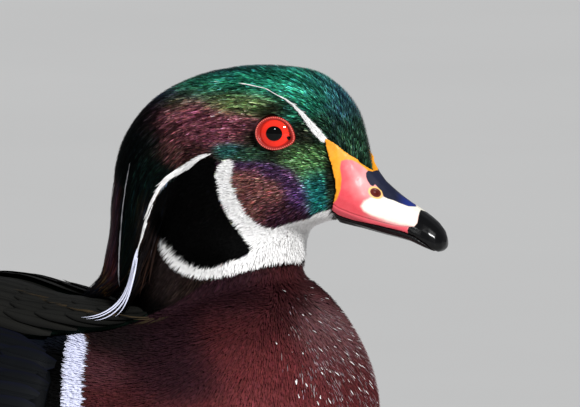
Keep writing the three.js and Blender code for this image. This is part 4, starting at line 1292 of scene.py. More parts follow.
def make_strands(surface, ground):
    """Long white feathers that fall free of the crest onto the back, on both sides."""
    v = np.linspace(0, 1, 16)
    paths = []
    for strand in NAPE_STRANDS:
        line = np.array(strand, float)
        run = run_of(line)
        places = np.stack([np.polyval(np.polyfit(run / run[-1], line[:, k], 4), v) for k in (0, 1)], 1)
        flat = photo_plane(places)
        near = np.array([np.array(hit) @ TO_CAMERA for hit in surface.shown(flat)]) + 0.5
        free = np.maximum(near, near[0] + (near[-1] - near[0]) * v)
        smooth = np.maximum(np.polyval(np.polyfit(v, free, 3), v), near)
        smooth = np.convolve(np.pad(smooth, 2, mode="edge"), np.ones(5) / 5, mode="valid")
        paths.append(flat + np.outer(np.maximum(smooth, near) + STRAND_CLEAR, TO_CAMERA))
    centre = np.array(paths)
    normal = np.broadcast_to(unit(TO_CAMERA + np.array([0, 0, 0.5])), centre.shape)
    half = np.broadcast_to(0.27 * np.interp(v, *STRAND_SHAPE), centre.shape[:2])
    grid = on_both_sides(vane_points(centre, normal, half, 0.2, 3))
    return tufts("nape_strands", grid, LAVENDER, 0, ground.map_at(grid[:, 0, 1]))


def line_feathers(name, surface, ground, line, seed, length, lift, thin, crowd, colour):
    """Narrow feathers one after the other along a line of the photograph, on both sides."""
    random = np.random.default_rng(seed)
    line = np.array(line, float)
    run = run_of(line)
    fine = np.linspace(0, run[-1], 300)
    room = np.interp(fine, run, line[:, 2]) + 0.8
    filled = np.concatenate([[0], np.cumsum((room[1:] + room[:-1]) / 2)]) * fine[1]
    count = int(crowd * filled[-1] / length)
    at = np.interp(random.uniform(0, filled[-1], count), filled, fine)
    x, y, width = (np.interp(at, run, line[:, k]) for k in range(3))
    ends = [np.stack([np.interp(at + d, run, line[:, k]) for k in (0, 1)], 1) for d in (4, -4)]
    ahead = unit(ends[0] - ends[1])
    shift = random.uniform(-0.5, 0.5, count) * np.maximum(width - 6 * thin - 0.2 * width, 0)
    places = np.stack([x - ahead[:, 1] * shift, y + ahead[:, 0] * shift], 1)
    hits = surface.shown(photo_plane(places - ahead * length * PIXELS_PER_MM * 0.5))
    met = np.array([hit is not None for hit in hits])
    roots = np.array([hit for hit in hits if hit is not None])
    way = (np.outer(ahead[:, 0], TO_RIGHT) - np.outer(ahead[:, 1], TO_TOP))[met]
    stations = len(LINE_PROFILE)
    path, normal = surface.paths(roots, lambda places: way, length, stations)
    rise = random.uniform(0.4, 1, len(path))[:, None] * lift
    centre = path + normal * (-0.6 + (rise + 0.6) * np.linspace(0, 1, stations) ** 0.5)[..., None]
    narrow = thin + 0.035 * np.minimum(width[met], 5) * random.uniform(0.6, 1.2, len(path))
    grid = on_both_sides(vane_points(centre, normal, narrow[:, None] * LINE_PROFILE, 0.2, 2))
    tint = random.uniform(0.85, 1, len(grid))
    return tufts(name, grid, (colour * tint[:, None])[:, None, None], 0, ground.map_at(grid[:, 0, 0]))


# Large feathers
SHORT_VANE = [0.4, 0.75, 0.95, 1, 1, 0.97, 0.88, 0.66, 0.22]
LONG_VANE = [0.4, 0.7, 0.85, 0.95, 1, 1, 0.92, 0.7, 0.2]
BLUNT_VANE = [0.5, 0.8, 0.95, 1, 1, 1, 1, 0.94, 0.6]
VANE_STATIONS = 13
VANE_COLUMNS = 5
VANE_WAY = np.linspace(0, 1, VANE_STATIONS)
PAD_ACROSS, PAD_ALONG = 18, 40


def bed_surface(side, x, degrees):
    bottom, top, half = looked_up(WING_BED, x)
    a = np.radians(degrees)
    c, s = (np.sign(w) * np.abs(w) ** (2 / TRUNK_POWER) for w in (np.cos(a), np.sin(a)))
    return np.stack([x, side * half * c, (top + bottom) / 2 + (top - bottom) / 2 * s], -1)


def bed_place(side, x, degrees, out):
    """A place on the wings' bed and which way it faces: x, degrees up from the side, height."""
    along = bed_surface(side, x + 2, degrees) - bed_surface(side, x - 2, degrees)
    round_it = bed_surface(side, x, degrees + 3) - bed_surface(side, x, degrees - 3)
    normal = unit(np.cross(round_it, along) * side)
    return bed_surface(side, x, degrees) + normal * out[..., None], normal


def pad_height(rows, x, degrees):
    """How far the body under a wing's feathers stands off the bed."""
    low, high, thick = looked_up(rows, x)
    u = np.clip(2 * (degrees - low) / (high - low) - 1, -1, 1)
    return PAD_CLEAR + thick * (0.25 + 0.75 * np.sqrt(1 - u * u))


def make_pad(name, side, rows, colour):
    """The plain closed body under the feathers of a wing, a shoulder or a flank."""
    x = np.linspace(rows[0][0], rows[-1][0], PAD_ALONG)[:, None]
    low, high, _ = looked_up(rows, x)
    degrees = low + (high - low) * np.linspace(0, 1, PAD_ACROSS)
    x = x + degrees * 0
    above, _ = bed_place(side, x, degrees, pad_height(rows, x, degrees) - 0.6)
    below, _ = bed_place(side, x, degrees, degrees * 0 + PAD_CLEAR - 1.2)
    rings = np.concatenate([above, below[:, ::-1]], axis=1)
    around = 2 * PAD_ACROSS
    j = np.arange(PAD_ACROSS - 1)
    cap = np.stack([j, around - 1 - j, around - 2 - j, j + 1], -1)
    last = (PAD_ALONG - 1) * around
    quads = np.concatenate([ring_quads(PAD_ALONG, around), cap, cap[:, ::-1] + last])
    body = mesh_piece(name, rings.reshape(-1, 3), quads)
    face_out(body)
    count = len(body.data.vertices)
    # Painted shade: the body under the feathers is darker than they are
    paint_points(body, "plumage", np.tile(colour * 0.6, (count, 1)))
    paint_points(body, "gloss", np.full(count, 0.2))
    return body


def feathers(name, centre, normal, half, lean, profile, paint, seed):
    """Large feathers as arched vanes with one edge raised. paint gives colour and gloss over the vane."""
    random = np.random.default_rng(seed)
    count = len(centre)
    widths = np.broadcast_to(np.reshape(half, (-1, 1)) * spread_over(profile, VANE_WAY), centre.shape[:2])
    across = np.linspace(-1, 1, VANE_COLUMNS)
    grid = vane_points(centre, normal, widths, 0.12, VANE_COLUMNS)
    grid = grid + normal[:, :, None] * (lean * widths[..., None] * across)[..., None]
    piece = mesh_piece(name, grid.reshape(-1, 3), vane_quads(count, VANE_STATIONS, VANE_COLUMNS))
    u = np.broadcast_to(across, grid.shape[:3])
    v = np.broadcast_to(VANE_WAY[None, :, None], u.shape)
    colour, gloss = paint(u, v)
    tint = np.exp(random.normal(0, 0.08, count))[:, None, None, None]
    paint_points(piece, "plumage", np.clip(colour * tint, 0, 0.95).reshape(-1, 3))
    paint_points(piece, "gloss", np.full(u.size, gloss))
    own = np.stack([(u.ravel() + 1) / 2, v.ravel()], 1)
    map_points(piece, "Vane", own)
    rows = math.ceil(math.sqrt(count))
    cell = np.arange(count)
    corner = np.stack([cell % rows, cell // rows], 1)[:, None] / rows
    map_points(piece, "OFBake", (corner + own.reshape(count, -1, 2) * 0.94 / rows).reshape(-1, 2))
    return piece


def tiers(spec, seed):
    """Single feathers from tiers of x, lowest degrees, degrees apart, count, length, gain, half width."""
    random = np.random.default_rng(seed)
    rows = []
    for x, degrees, apart, count, length, gain, half in spec:
        for i in range(count):
            back = x + random.uniform(-1.5, 1.5)
            long = length * random.uniform(0.94, 1.06)
            tip = 1.0 + random.uniform(-0.15, 0.15)
            wide = half * random.uniform(0.94, 1.06)
            rows.append((back, degrees + apart * i, long, gain, -1.3, tip, wide))
    return rows


def laid(name, side, pad, rows, lean, profile, paint, seed):
    """Feathers on a pad. Each row: x and degrees of the root, length, degrees gained on the way,
    height of root and tip above the pad, half width."""
    x, degrees, length, gain, root, tip, half = np.array(rows, float).T[..., None]
    x = x - length * VANE_WAY
    degrees = degrees + gain * VANE_WAY
    out = root + (tip - root) * VANE_WAY**0.8
    out = np.maximum(PAD_CLEAR + 0.5, pad_height(pad, x, degrees) + out)
    return feathers(name, *bed_place(side, x, degrees, out), half, lean * side, profile, paint, seed)


def layered(colour, gloss, *layers):
    """Paint for a vane: one colour, with others over it, each with its share(u across, v along)."""

    def paint(u, v):
        shade = np.broadcast_to(colour, (*u.shape, 3))
        for other, share in layers:
            shade = shade + (other - shade) * share(u, v)[..., None]
        return shade, gloss

    return paint


def edge(u, v):
    return step(np.abs(u), 0.55, 0.95)


# Tiers of the wing's coverts and flight feathers, of the shoulders' and of the flanks' feathers
COVERT_TIERS = [
    (-101, 13, 5, 7, 20, 0, 3.4), (-106, 8, 4.9, 9, 22, 0, 3.4), (-112, 6, 4.9, 10, 25, 0, 3.5),
    (-119, 7, 4.8, 10, 28, 0, 3.6), (-131, 6, 4.8, 10, 31, 0, 3.7), (-144, 7, 4.8, 9, 36, 0, 3.8),
]
SECONDARY_TIERS = [(-158, 7, 4.6, 9, 56, 2, 3.9)]
# Single flight feathers: x and degrees of the root, length, gain, height of root and tip, half width
PRIMARIES = [
    (-202, 13, 128, 15, -1.6, 0.2, 3.2), (-200, 17, 122, 12, -1.5, 0.5, 3.5),
    (-199, 21, 115, 10, -1.4, 0.8, 3.7), (-198, 25, 107, 8, -1.3, 1.1, 3.9), (-197, 29, 99, 7, -1.2, 1.4, 4),
    (-195, 33, 90, 5.5, -1.1, 1.7, 4.1), (-193, 37, 80, 4.5, -1, 2, 4.2),
]
TERTIALS = [
    (-172, 34.5, 58, 1.5, -1, 1.9, 4), (-169, 38, 64, 1, -1, 2.2, 4.3), (-166, 42, 72, 0.6, -1, 2.4, 4.5),
    (-163, 46, 80, 0.4, -1, 2.5, 4.6),
]
SCAPULAR_TIERS = [
    (-77, 73, 4.6, 2, 20, -4, 3.4), (-83, 70.5, 4.6, 4, 22, -4, 3.6), (-90, 68, 4.6, 5, 24, -4, 3.6),
    (-98, 64, 4.7, 5, 28, -3, 3.8), (-108, 59, 4.9, 6, 34, -1, 4), (-114, 57, 4.9, 6, 38, -1, 4.2),
    (-122, 55.5, 4.9, 7, 44, 0, 4.3), (-138, 56, 4.9, 6, 56, 0.5, 4.3), (-156, 58, 5, 5, 62, 0.6, 4),
]
FLANK_TIERS = [
    (-77, -29, 5.6, 4, 21, 0, 4.2), (-80, -40, 5.6, 8, 20, 0, 4.4), (-86, -31, 5.6, 5, 22, 0, 4.4),
    (-93, -41, 5.6, 8, 24, 0.6, 4.6), (-102, -46, 5.7, 9, 26, 0.9, 4.8), (-113, -49, 5.8, 9, 28, 1.2, 5),
    (-125, -51, 5.9, 9, 30, 1.5, 5.2), (-138, -50, 6, 9, 33, 2, 5.4), (-152, -48, 6.2, 8, 36, 2.5, 5.4),
    (-166, -42, 6.4, 6, 38, 3, 5.2),
]
FLANK_BORDER = [
    (-82 - 11 * i, 4.2 - 0.3 * i, 26.8 + 1.2 * i, -1.5, 0.2, 2.4, 5 + 0.25 * i) for i in range(10)
]


def make_wing(side, word):
    coverts = layered(SLATE, 0.4, (COVERT_EDGE, edge))
    speculum = layered(
        SPECULUM, 1.0, (WING_VIOLET, edge),
        (BLACK, lambda u, v: step(v, 0.74, 0.78) * (1 - step(v, 0.9, 0.92))),
        (WHITE, lambda u, v: step(v, 0.9, 0.93)),
    )
    primaries = layered(
        QUILL_GREY, 0.4,
        (SILVER, lambda u, v: step(-side * u, 0.2, 0.6) * (1 - step(v, 0.86, 0.97))),
        (INK_BLUE, lambda u, v: step(v, 0.86, 0.95)),
    )
    tertials = layered(INK_BLUE, 1.0, (WING_VIOLET, edge))
    return [make_pad(f"wing_body_{word}", side, WING_PAD, SLATE)] + [
        laid(f"{name}_{word}", side, WING_PAD, rows, 0.1, profile, paint, seed)
        for name, rows, profile, paint, seed in (
            ("wing_coverts", tiers(COVERT_TIERS, 41), SHORT_VANE, coverts, 42),
            ("secondaries", tiers(SECONDARY_TIERS, 43), LONG_VANE, speculum, 44),
            ("primaries", PRIMARIES, LONG_VANE, primaries, 45),
            ("tertials", TERTIALS, LONG_VANE, tertials, 46),
        )
    ]


def make_shoulder(side, word):
    paint = layered(SHOULDER, 0.3, (SHOULDER_EDGE, edge))
    rows = tiers(SCAPULAR_TIERS, 47)
    return [
        make_pad(f"shoulder_body_{word}", side, SCAPULAR_PAD, BOTTLE),
        laid(f"shoulder_feathers_{word}", side, SCAPULAR_PAD, rows, 0.1, SHORT_VANE, paint, 48),
    ]


def make_flank(side, word):
    """Sand feathers, and above them a row whose tips have a white band between two black ones."""
    bands = [
        (colour, lambda u, v, low=low: step(v + 0.05 * u * u, low, low + 0.02))
        for low, colour in ((0.52, BLACK), (0.62, WHITE), (0.82, BLACK))
    ]
    sand, border = layered(SAND, 0.1, (SAND * 1.1, edge)), layered(SAND, 0.2, *bands)
    rows = tiers(FLANK_TIERS, 49)
    return [
        make_pad(f"flank_body_{word}", side, FLANK_PAD, SAND),
        laid(f"flank_feathers_{word}", side, FLANK_PAD, rows, 0.06, SHORT_VANE, sand, 50),
        laid(f"flank_border_{word}", side, WING_PAD, FLANK_BORDER, 0.06, BLUNT_VANE, border, 54),
    ]


# Tail
TAIL_ROOT = -236
TAIL_TIP = -338
TAIL_HALF = (9, 28)
TAIL_FEATHERS = 16
# Rows of feathers over and under its root: x, count, length, and the row's half width or degrees
OVER_ROWS = [(-206, 9, 28, 22), (-218, 9, 32, 19), (-230, 9, 38, 16), (-243, 9, 44, 13)]
UNDER_ROWS = [(-222, 5, 34, 30), (-234, 5, 36, 24), (-246, 5, 38, 18), (-258, 5, 38, 12)]


def tail_height(x, y):
    return 134.8 + (x + 240) * 0.07 - 0.3 * np.abs(y)


def make_tail():
    u = (2 * np.arange(TAIL_FEATHERS) + 1) / TAIL_FEATHERS - 1
    across, v = np.meshgrid(u[np.argsort(-np.abs(u))], VANE_WAY, indexing="ij")
    x = TAIL_ROOT + (TAIL_TIP + 14 * across**2 - TAIL_ROOT) * v
    y = across * (TAIL_HALF[0] + (TAIL_HALF[1] - TAIL_HALF[0]) * v)
    centre = np.stack([x, y, tail_height(x, y) + 1.4 * (1 - np.abs(across)) - 0.5], -1)
    normal = unit(np.stack([across * 0, 0.3 * np.sign(across), across * 0 + 1], -1))
    half = 2.5 * TAIL_HALF[1] / TAIL_FEATHERS * (0.35 + 0.65 * VANE_WAY)
    profile = half * spread_over(BLUNT_VANE, VANE_WAY)
    paint = layered(BOTTLE, 0.8, (BLACK, edge))
    return feathers("tail_feathers", centre, normal, 1.0, 0.0, profile, paint, 51)


def covert_rows(table, rear):
    """Paths of x along rows of feathers, where each feather lies across its row, and the trunk there,
    which ends at rear."""
    rows = [
        (x, across, length) for x, count, length, half in table for across in np.linspace(-half, half, count)
    ]
    start, across, length = np.array(rows).T[..., None]
    x = start - length * VANE_WAY
    return x, across, looked_up(TRUNK, np.maximum(x, rear))


def make_coverts_over():
    """Feathers over the tail's root, in rows."""
    x, across, (bottom, top, half) = covert_rows(OVER_ROWS, -286)
    y = across * (1 - 0.1 * VANE_WAY)
    share = np.clip(np.abs(y) / np.maximum(half, 1), 0, 0.96)
    roof = (top + bottom) / 2 + (top - bottom) / 2 * (1 - share**TRUNK_POWER) ** (1 / TRUNK_POWER)
    z = np.maximum(roof, np.where(x < -240, tail_height(x, y) + 2.2, 0)) + 0.2 + 1.6 * VANE_WAY
    normal = unit(np.stack([x * 0, y / 30, x * 0 + 1], -1))
    centre, paint = np.stack([x, y, z], -1), layered(BOTTLE, 0.8)
    return feathers("tail_covert_feathers", centre, normal, 4.2, 0.0, SHORT_VANE, paint, 52)


def make_coverts_under():
    x, across, (bottom, top, half) = covert_rows(UNDER_ROWS, -288)
    a = np.radians(across - 90) + x * 0
    out = -0.6 + 2 * VANE_WAY
    y = half * np.cos(a) + np.cos(a) * out
    z = (top + bottom) / 2 + (top - bottom) / 2 * np.sin(a) + np.sin(a) * out
    normal = np.stack([x * 0, np.cos(a), np.sin(a)], -1)
    centre, paint = np.stack([x, y, z], -1), layered(UNDERTAIL, 0.2)
    return feathers("undertail_feathers", centre, normal, 4.6, 0.0, SHORT_VANE, paint, 53)


# Crest and nape
CREST_VANES = 7500
NAPE_VANES = 1800
HANGING_SHAPE = ([0, 0.15, 0.4, 0.7, 1], [0.5, 0.9, 1, 0.75, 0.08])


def crest_place(height, degrees, share, table):
    """A place on the crest's outline, or a share of the way out to it, degrees round from the front."""
    back, front, half = looked_up(table, height)
    c, s = np.cos(np.radians(degrees)), np.sin(np.radians(degrees))
    wide = np.maximum(0, 1 - np.abs(c) ** np.where(c > 0, 2.2, 2)) ** np.where(c > 0, 0.42, 0.5)
    x = (back + front) / 2 + (front - back) / 2 * c * share
    return np.stack([x, np.sign(s) * half * wide * share, height], -1)


def crest_facing(height, degrees, share, table):
    below, above = (crest_place(height + rise, degrees, share, table) for rise in (-1, 1))
    ahead, behind = (crest_place(height, degrees + turn, share, table) for turn in (2, -2))
    return unit(np.cross(below - above, ahead - behind))


def hanging(name, ground, table, root, tip, degrees, share, half, drift, flare, seed):
    """Long narrow feathers that hang over the form of a table, from root to tip."""
    random = np.random.default_rng(seed)
    count, stations = len(root), 8
    v = np.linspace(0, 1, stations)
    height = root[:, None] + (tip - root)[:, None] * v
    turn = degrees[:, None] + random.normal(0, drift, (count, 1)) * v
    reach = share[:, None] - 0.2 * (1 - v) ** 2
    centre = crest_place(height, turn, reach, table)
    normal = crest_facing(height, turn, reach, table)
    centre[..., 0] -= random.uniform(0, flare, (count, 1)) * np.maximum(0, 170 - height) ** 1.4 * 0.12
    width = half * random.uniform(0.6, 1.4, (count, 1)) * np.interp(v, *HANGING_SHAPE)
    grid = vane_points(centre, normal, width, 0.0, 2)
    colour, gloss = marks(grid.reshape(-1, 3))
    tint = np.exp(random.normal(-0.15, 0.55, count)).repeat(stations * 2)
    tint = tint * np.exp(0.6 * streaks(grid.reshape(-1, 3)))
    rust = np.exp(np.outer(random.normal(0, 0.3, count), (1, 0.2, -0.6))).repeat(stations * 2, axis=0)
    colour = np.minimum(colour * tint[:, None] * rust, 0.9).reshape(grid.shape)
    return tufts(name, grid, colour, gloss.reshape(grid.shape[:3]), ground.map_at(centre[:, 0]))


def make_crest(ground):
    """From the back of the crown down to the tips of the crest."""
    random = np.random.default_rng(12)
    degrees = 180 + random.uniform(-128, 128, CREST_VANES)
    tip = 160.5 + 38 * random.random(CREST_VANES) ** 1.2
    root = np.minimum(random.uniform(194, 214, CREST_VANES), tip + random.uniform(16, 44, CREST_VANES))
    tip = np.minimum(tip, root - 12)
    share = 1.0 - 0.14 * random.random(CREST_VANES) ** 1.6
    return hanging("crest_feathers", ground, CREST, root, tip, degrees, share, 0.32, 5, 2.4, 71)


def make_nape(ground):
    """Loose feathers that close the hollow between the neck and the crest."""
    random = np.random.default_rng(13)
    degrees = 180 + random.uniform(-76, 76, NAPE_VANES)
    tip = 155 + 26 * random.random(NAPE_VANES) ** 1.2
    root = np.minimum(206, tip + random.uniform(10, 24, NAPE_VANES))
    share = random.uniform(0.8, 1.0, NAPE_VANES)
    return hanging("nape_feathers", ground, NAPE_FALL, root, tip, degrees, share, 0.4, 9, 0.6, 72)


def hanging_form(name, table, top, bottom):
    """A table's form as a plain piece, a little small, for strands to be laid on."""
    rings, around = 60, 48
    height = np.linspace(top, bottom, rings)[:, None]
    degrees = np.linspace(0, 360, around, endpoint=False)
    height, degrees = np.broadcast_arrays(height, degrees)
    points = crest_place(height, degrees, 0.93, table)
    return mesh_piece(name, points.reshape(-1, 3), ring_quads(rings, around)[:, ::-1])


# Legs
FOOT_PLACE = (-119, 27)
TOE_LINES = [(47, 2), (42, 28), (37, -25), (13, 172)]  # length, degrees out from straight ahead
CLAW_BASE = (1.3, 1.05, 2.4)  # radius at the toe and further on, length
CLAW_SIZES = (0.75, 0.62, 0.4, 0.15)
CLAW_STEP = (-0.35, 0, 0.9)


def toe_ways(side=1):
    """Length and direction of each toe."""
    for length, degrees in TOE_LINES:
        a = math.radians(degrees) * side
        yield length, np.array([math.cos(a), math.sin(a), 0])


def make_leg(side, word):
    leg = copy_of(f"foot_{word}_skin", f"shank_{word}", f"foot_{word}")
    remeshed(leg, *LEG_MESH)
    points = points_of(leg)
    place = (points - (FOOT_PLACE[0], side * FOOT_PLACE[1], 0)) * (1, side, 0)
    away = np.full(len(points), 99.0)
    run = points[:, 2].copy()
    for length, way in toe_ways():
        ahead = np.clip(place @ way, 0, length)
        gap = np.linalg.norm(place - ahead[:, None] * way, axis=1)
        run = np.where((gap < away) & (points[:, 2] < 7.5), ahead, run)
        away = np.minimum(away, gap)
    paint_points(leg, "web", step(away, 2.2, 3.4) * (points[:, 2] < 6))
    paint_points(leg, "run", run)
    paint_points(leg, "upper", normals_of(leg) @ (0.5, 0, 0.8))
    return leg


def leg_finish():
    finish = Finish("foot_skin", Specular_IOR_Level=0.35)
    cells = finish.add("ShaderNodeTexVoronoi", None, {"Vector": finish.place(), "Scale": 620.0})
    grain = finish.noise(400)
    skin = finish.mix(grain, linear("9a7424"), linear("c79a35"))
    scutes = (finish.number("run") * 3.1).sine().step(0.72, 1) * finish.number("upper").step(0.1, 0.4)
    scutes = scutes * (1 - finish.number("web"))
    skin = finish.shade(skin, 0.8 + cells * 0.35 - scutes * 0.4)
    web = finish.mix(grain, linear("1c1a14"), linear("35301f"))
    finish.set(Base_Color=finish.mix(finish.number("web"), skin, web), Roughness=0.5 + grain * 0.15)
    return finish.bump(cells - scutes * 1.2, 0.25)


def claw_form():
    """A bent cone that points up, and bends towards -x."""
    wide, narrow, tall = CLAW_BASE
    claw = added(bpy.ops.mesh.primitive_cone_add, vertices=12, radius1=wide, radius2=narrow, depth=tall)
    bpy.ops.object.mode_set(mode="EDIT")
    bpy.ops.mesh.select_all(action="DESELECT")
    bpy.ops.object.mode_set(mode="OBJECT")
    for face in claw.data.polygons:
        face.select = face.normal.z > 0.9
    bpy.ops.object.mode_set(mode="EDIT")
    bpy.ops.mesh.select_mode(type="FACE")
    for size in CLAW_SIZES:
        bpy.ops.mesh.extrude_region_move(TRANSFORM_OT_translate={"value": CLAW_STEP})
        bpy.ops.transform.resize(value=(size, size, size))
    bpy.ops.object.mode_set(mode="OBJECT")
    return claw


def make_claws(side, word):
    """A claw at the tip of each toe."""
    claw = claw_form()
    form = read(claw.data.vertices, "co", 3)
    claws = [claw] + [copy_linked(claw) for _ in TOE_LINES[1:]]
    for claw, (length, ahead) in zip(claws, toe_ways(side)):
        root = np.array([FOOT_PLACE[0], side * FOOT_PLACE[1], 1.5]) + ahead * (length - 4)
        move_points(claw, root + form @ np.stack([(0, 0, 1), np.cross((0, 0, 1), ahead), ahead]))
    joined(f"claws_{word}", claws)
    bpy.ops.object.shade_smooth()
    face_out(claws[0])
    return claws[0]


# Stage
def light_up():
    """A soft key light from the upper right of the camera, and a weaker one that fills the shadows."""
    world = bpy.context.scene.world or bpy.data.worlds.new("World")
    bpy.context.scene.world = world
    world.use_nodes = True
    sky = world.node_tree.nodes["Background"]
    sky.inputs["Color"].default_value = (0.93, 0.95, 1, 1)
    sky.inputs["Strength"].default_value = 0.22
    for name, way, angle, strength in (
        ("key", TO_CAMERA * 0.78 + TO_RIGHT * 0.45 + TO_TOP * 0.42, 8, 3.3),
        ("fill", TO_CAMERA * 0.9 - TO_RIGHT * 0.33 + TO_TOP * 0.3, 5, 0.4),
    ):
        light = bpy.data.lights.new(name, "SUN")
        light.angle = math.radians(angle)
        light.energy = strength
        lamp = bpy.data.objects.new(name, light)
        bpy.context.scene.collection.objects.link(lamp)
        lamp.rotation_euler = Vector(way).to_track_quat("Z", "Y").to_euler()


def make_camera():
    camera = bpy.data.cameras.new("camera")
    holder = bpy.data.objects.new("camera", camera)
    bpy.context.scene.collection.objects.link(holder)
    across = (PHOTO_SIZE[0] / 2 - PHOTO_ORIGIN[0]) / PIXELS_PER_MM
    up = (PHOTO_ORIGIN[1] - PHOTO_SIZE[1] / 2) / PIXELS_PER_MM
    eye_depth = EYE_PLACE * (1, -1, 1) @ TO_CAMERA
    spot = TO_RIGHT * across + TO_TOP * up + TO_CAMERA * (eye_depth + CAMERA_FAR)
    holder.matrix_world = Matrix(
        [(*row, place) for row, place in zip(np.stack([TO_RIGHT, TO_TOP, TO_CAMERA], 1), framed(spot))]
        + [(0, 0, 0, 1)]
    )
    camera.sensor_fit = "HORIZONTAL"
    camera.sensor_width = 36
    camera.lens = camera.sensor_width * CAMERA_FAR * PIXELS_PER_MM / PHOTO_SIZE[0]
    camera.clip_end = 100
    bpy.context.scene.camera = holder


def make_floor():
    floor = added(bpy.ops.mesh.primitive_plane_add, size=120)
    floor.name = floor.data.name = "floor"
    finish = Finish("studio_floor", Roughness=0.7)
    finish.set(Base_Color=finish.mix(finish.noise(4), (0.7, 0.7, 0.69), (0.74, 0.74, 0.73)))
    floor.data.materials.append(finish.material)


bpy.context.scene.view_settings.view_transform = "Standard"
make_camera()
make_floor()
light_up()
plumage, vanes, flank_vanes = plumage_finish(), feather_finish(), flank_finish()

skin = make_skin()
ground = Ground(skin)
skin_colour, skin_gloss = marks(ground.points)
# Painted shade: the skin under the tufts is darker than the plumage over it
paint_points(skin, "plumage", skin_colour * 0.6)
paint_points(skin, "gloss", skin_gloss)
finished(skin, plumage, "head", *FLESH)

bill = finished(make_bill(), bill_finish(), "bill", "bill_upper")
lower = remeshed(copy_of("lower_bill", "bill_lower"), *JAW_MESH)
jaw = {"Coat_Weight": 0.4, "Coat_Roughness": 0.15, "Coat_IOR": 1.4, "Specular_IOR_Level": 0.2}
dark_bill = grainy_finish("lower_bill", "030304", "0c0b0d", (600, 4), 0.3, 0.15, 0.06, **jaw)
finished(lower, dark_bill, "jaw", "bill_lower")
eye_glass = eye_finish()
moist = {"Coat_Roughness": 0.2, "Coat_Weight": 0.2, "Specular_IOR_Level": 0.3}
# The beads' paler pink is partly their own colour and partly painted highlight
lid_flesh, bead_flesh_and_highlight = (
    grainy_finish(*colours, (1500, 3), 0.36, 0.15, 0.08, **moist)
    for colours in (("lid_flesh", "7c100c", "b4281f"), ("lid_beads", "d8483c", "f48074"))
)
leg_skin = leg_finish()
grain = (500, 3, (1, 1, 0.3))
horn = grainy_finish("claw_horn", "15110d", "3a3026", grain, 0.3, 0.2, 0.08, Coat_Weight=0.3)
covers = [bill, lower]
pads = []
for side, word in SIDES:
    covers.append(finished(make_eye(side, word), eye_glass, "eye", f"eye_{word}"))
    covers.append(finished(make_lid(side, word), lid_flesh, "lid", f"eyelid_{word}"))
    finished(make_beads(side, word), bead_flesh_and_highlight, "lid", f"eyelid_{word}")
    for make, slot, node in (
        (make_wing, "wing", "wing"), (make_shoulder, "scapular", "scapulars"), (make_flank, "flank", "flank")
    ):
        body, *layers = make(side, word)
        pads.append(finished(body, plumage, slot, f"{node}_{word}"))
        for layer in layers:
            barred = layer.name.startswith("flank_feathers")
            finished(layer, flank_vanes if barred else vanes, slot, f"{node}_{word}")
    finished(make_leg(side, word), leg_skin, "leg", f"shank_{word}", f"foot_{word}")
    finished(make_claws(side, word), horn, "leg", f"foot_{word}")
finished(make_tail(), vanes, "tail", "tail")
finished(make_coverts_over(), vanes, "tail", "tail_coverts")
finished(make_coverts_under(), vanes, "rump")
finished(make_crest(ground), plumage, "crest", "crest")
finished(make_nape(ground), plumage, "neck")

head_cover = joined_surface(covers)
body_cover = joined_surface(covers[:2] + pads)
HEAD_TUFTS = {"spread": 0.85, "clumped": 0.5, "hues": 0.14, "shadow": 0.3}
NECK_TUFTS = {"spread": 0.3, "clumped": 0.3}
BREAST_TUFTS = {"stations": 3, "spread": 0.13, "clumped": 0.16, "shadow": 0.85}
BODY_TUFTS = {"spread": 0.12, "shadow": 0.85}
SPOT_TUFTS = {"paint": plain_paint(WHITE, 0)}
SHEEN_STREAK_TUFTS = {"paint": plain_paint(SHEEN_STREAK, 0.2)}
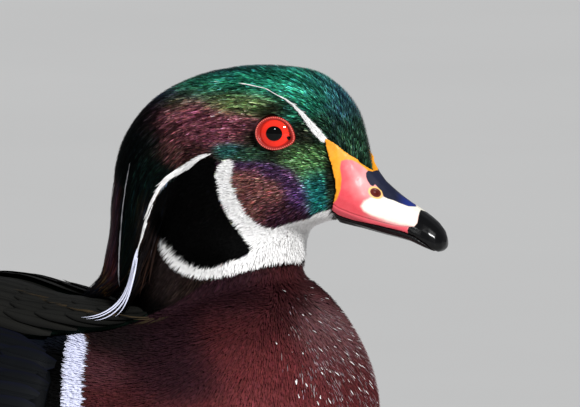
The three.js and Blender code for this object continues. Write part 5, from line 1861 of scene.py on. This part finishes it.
# Name, where, spacing, seed, length, width and its growth with the length, depth, slot, the rest
for name, *where, depth, slot, rest in (
    ("crown_coat", is_crown, 0.46, 3, head_length, (0.21, 0.013), HEAD_DEPTH, "head", HEAD_TUFTS),
    ("face_coat", is_face, 0.46, 13, head_length, (0.21, 0.013), HEAD_DEPTH, "head", HEAD_TUFTS),
    ("nape_coat", is_nape, 0.46, 23, head_length, (0.21, 0.013), HEAD_DEPTH, "head", HEAD_TUFTS),
    ("neck_coat", is_neck, 0.6, 4, head_length, (0.3, 0.014), HEAD_DEPTH, "neck", NECK_TUFTS),
    ("upper_breast_coat", is_upper_breast, 0.7, 5, 4.2, (0.62, 0), BODY_DEPTH, "breast", BREAST_TUFTS),
    ("lower_breast_coat", is_lower_breast, 1.25, 15, 4.2, (1.4, 0), BODY_DEPTH, "breast", BREAST_TUFTS),
    ("body_coat", is_body, 1.9, 6, 8.0, (2.4, 0), BODY_DEPTH, "belly", BODY_TUFTS),
    ("breast_spots", is_spotted, 6, 84, 3.0, (0.68, 0), BODY_DEPTH + 0.4, "breast", SPOT_TUFTS),
    ("breast_streaks", is_sheen_streaked, 1.3, 85, 4.0, (0.26, 0), BODY_DEPTH + 0.2, "breast", SHEEN_STREAK_TUFTS),
):
    cover = head_cover if depth == HEAD_DEPTH else body_cover
    finished(coat(name, ground, cover, *where, depth, **rest), plumage, slot)

forms = [hanging_form("crest_form", CREST, 240.5, 160), hanging_form("nape_form", NAPE_FALL, 207, 155)]
outline = joined_surface([skin, *forms, *pads], lambda p: 0.9 * plumage_depth(p))
for form in forms:
    bpy.data.objects.remove(form)
# Name, line, seed, length, lift, least half width, crowding, colour
for name, *rest in (
    ("crown_line", CROWN_LINE, 31, 3.2, 0.7, 0.08, 3, WHITE),
    ("crest_line", CREST_LINE, 32, 5, 0.5, 0.05, 1.6, THREAD),
    ("nape_line", NAPE_LINE, 33, 4, 0.9, 0.08, 3, WHITE),
    *((f"nape_tuft_{i}", tuft, 60 + i, 3, 1.1, 0.08, 3, WHITE) for i, tuft in enumerate(NAPE_TUFTS)),
):
    finished(line_feathers(name, outline, ground, *rest), plumage, "head")
finished(make_strands(outline, ground), plumage, "head")
for name, line, seed in (("buff_edge", BUFF_EDGE, 37), ("buff_base", BUFF_BASE, 38)):
    strip = line_feathers(name, outline, ground, line, seed, 7, 0.6, 0.1, 2.0, BUFF_DULL)
    finished(strip, plumage, "scapular")
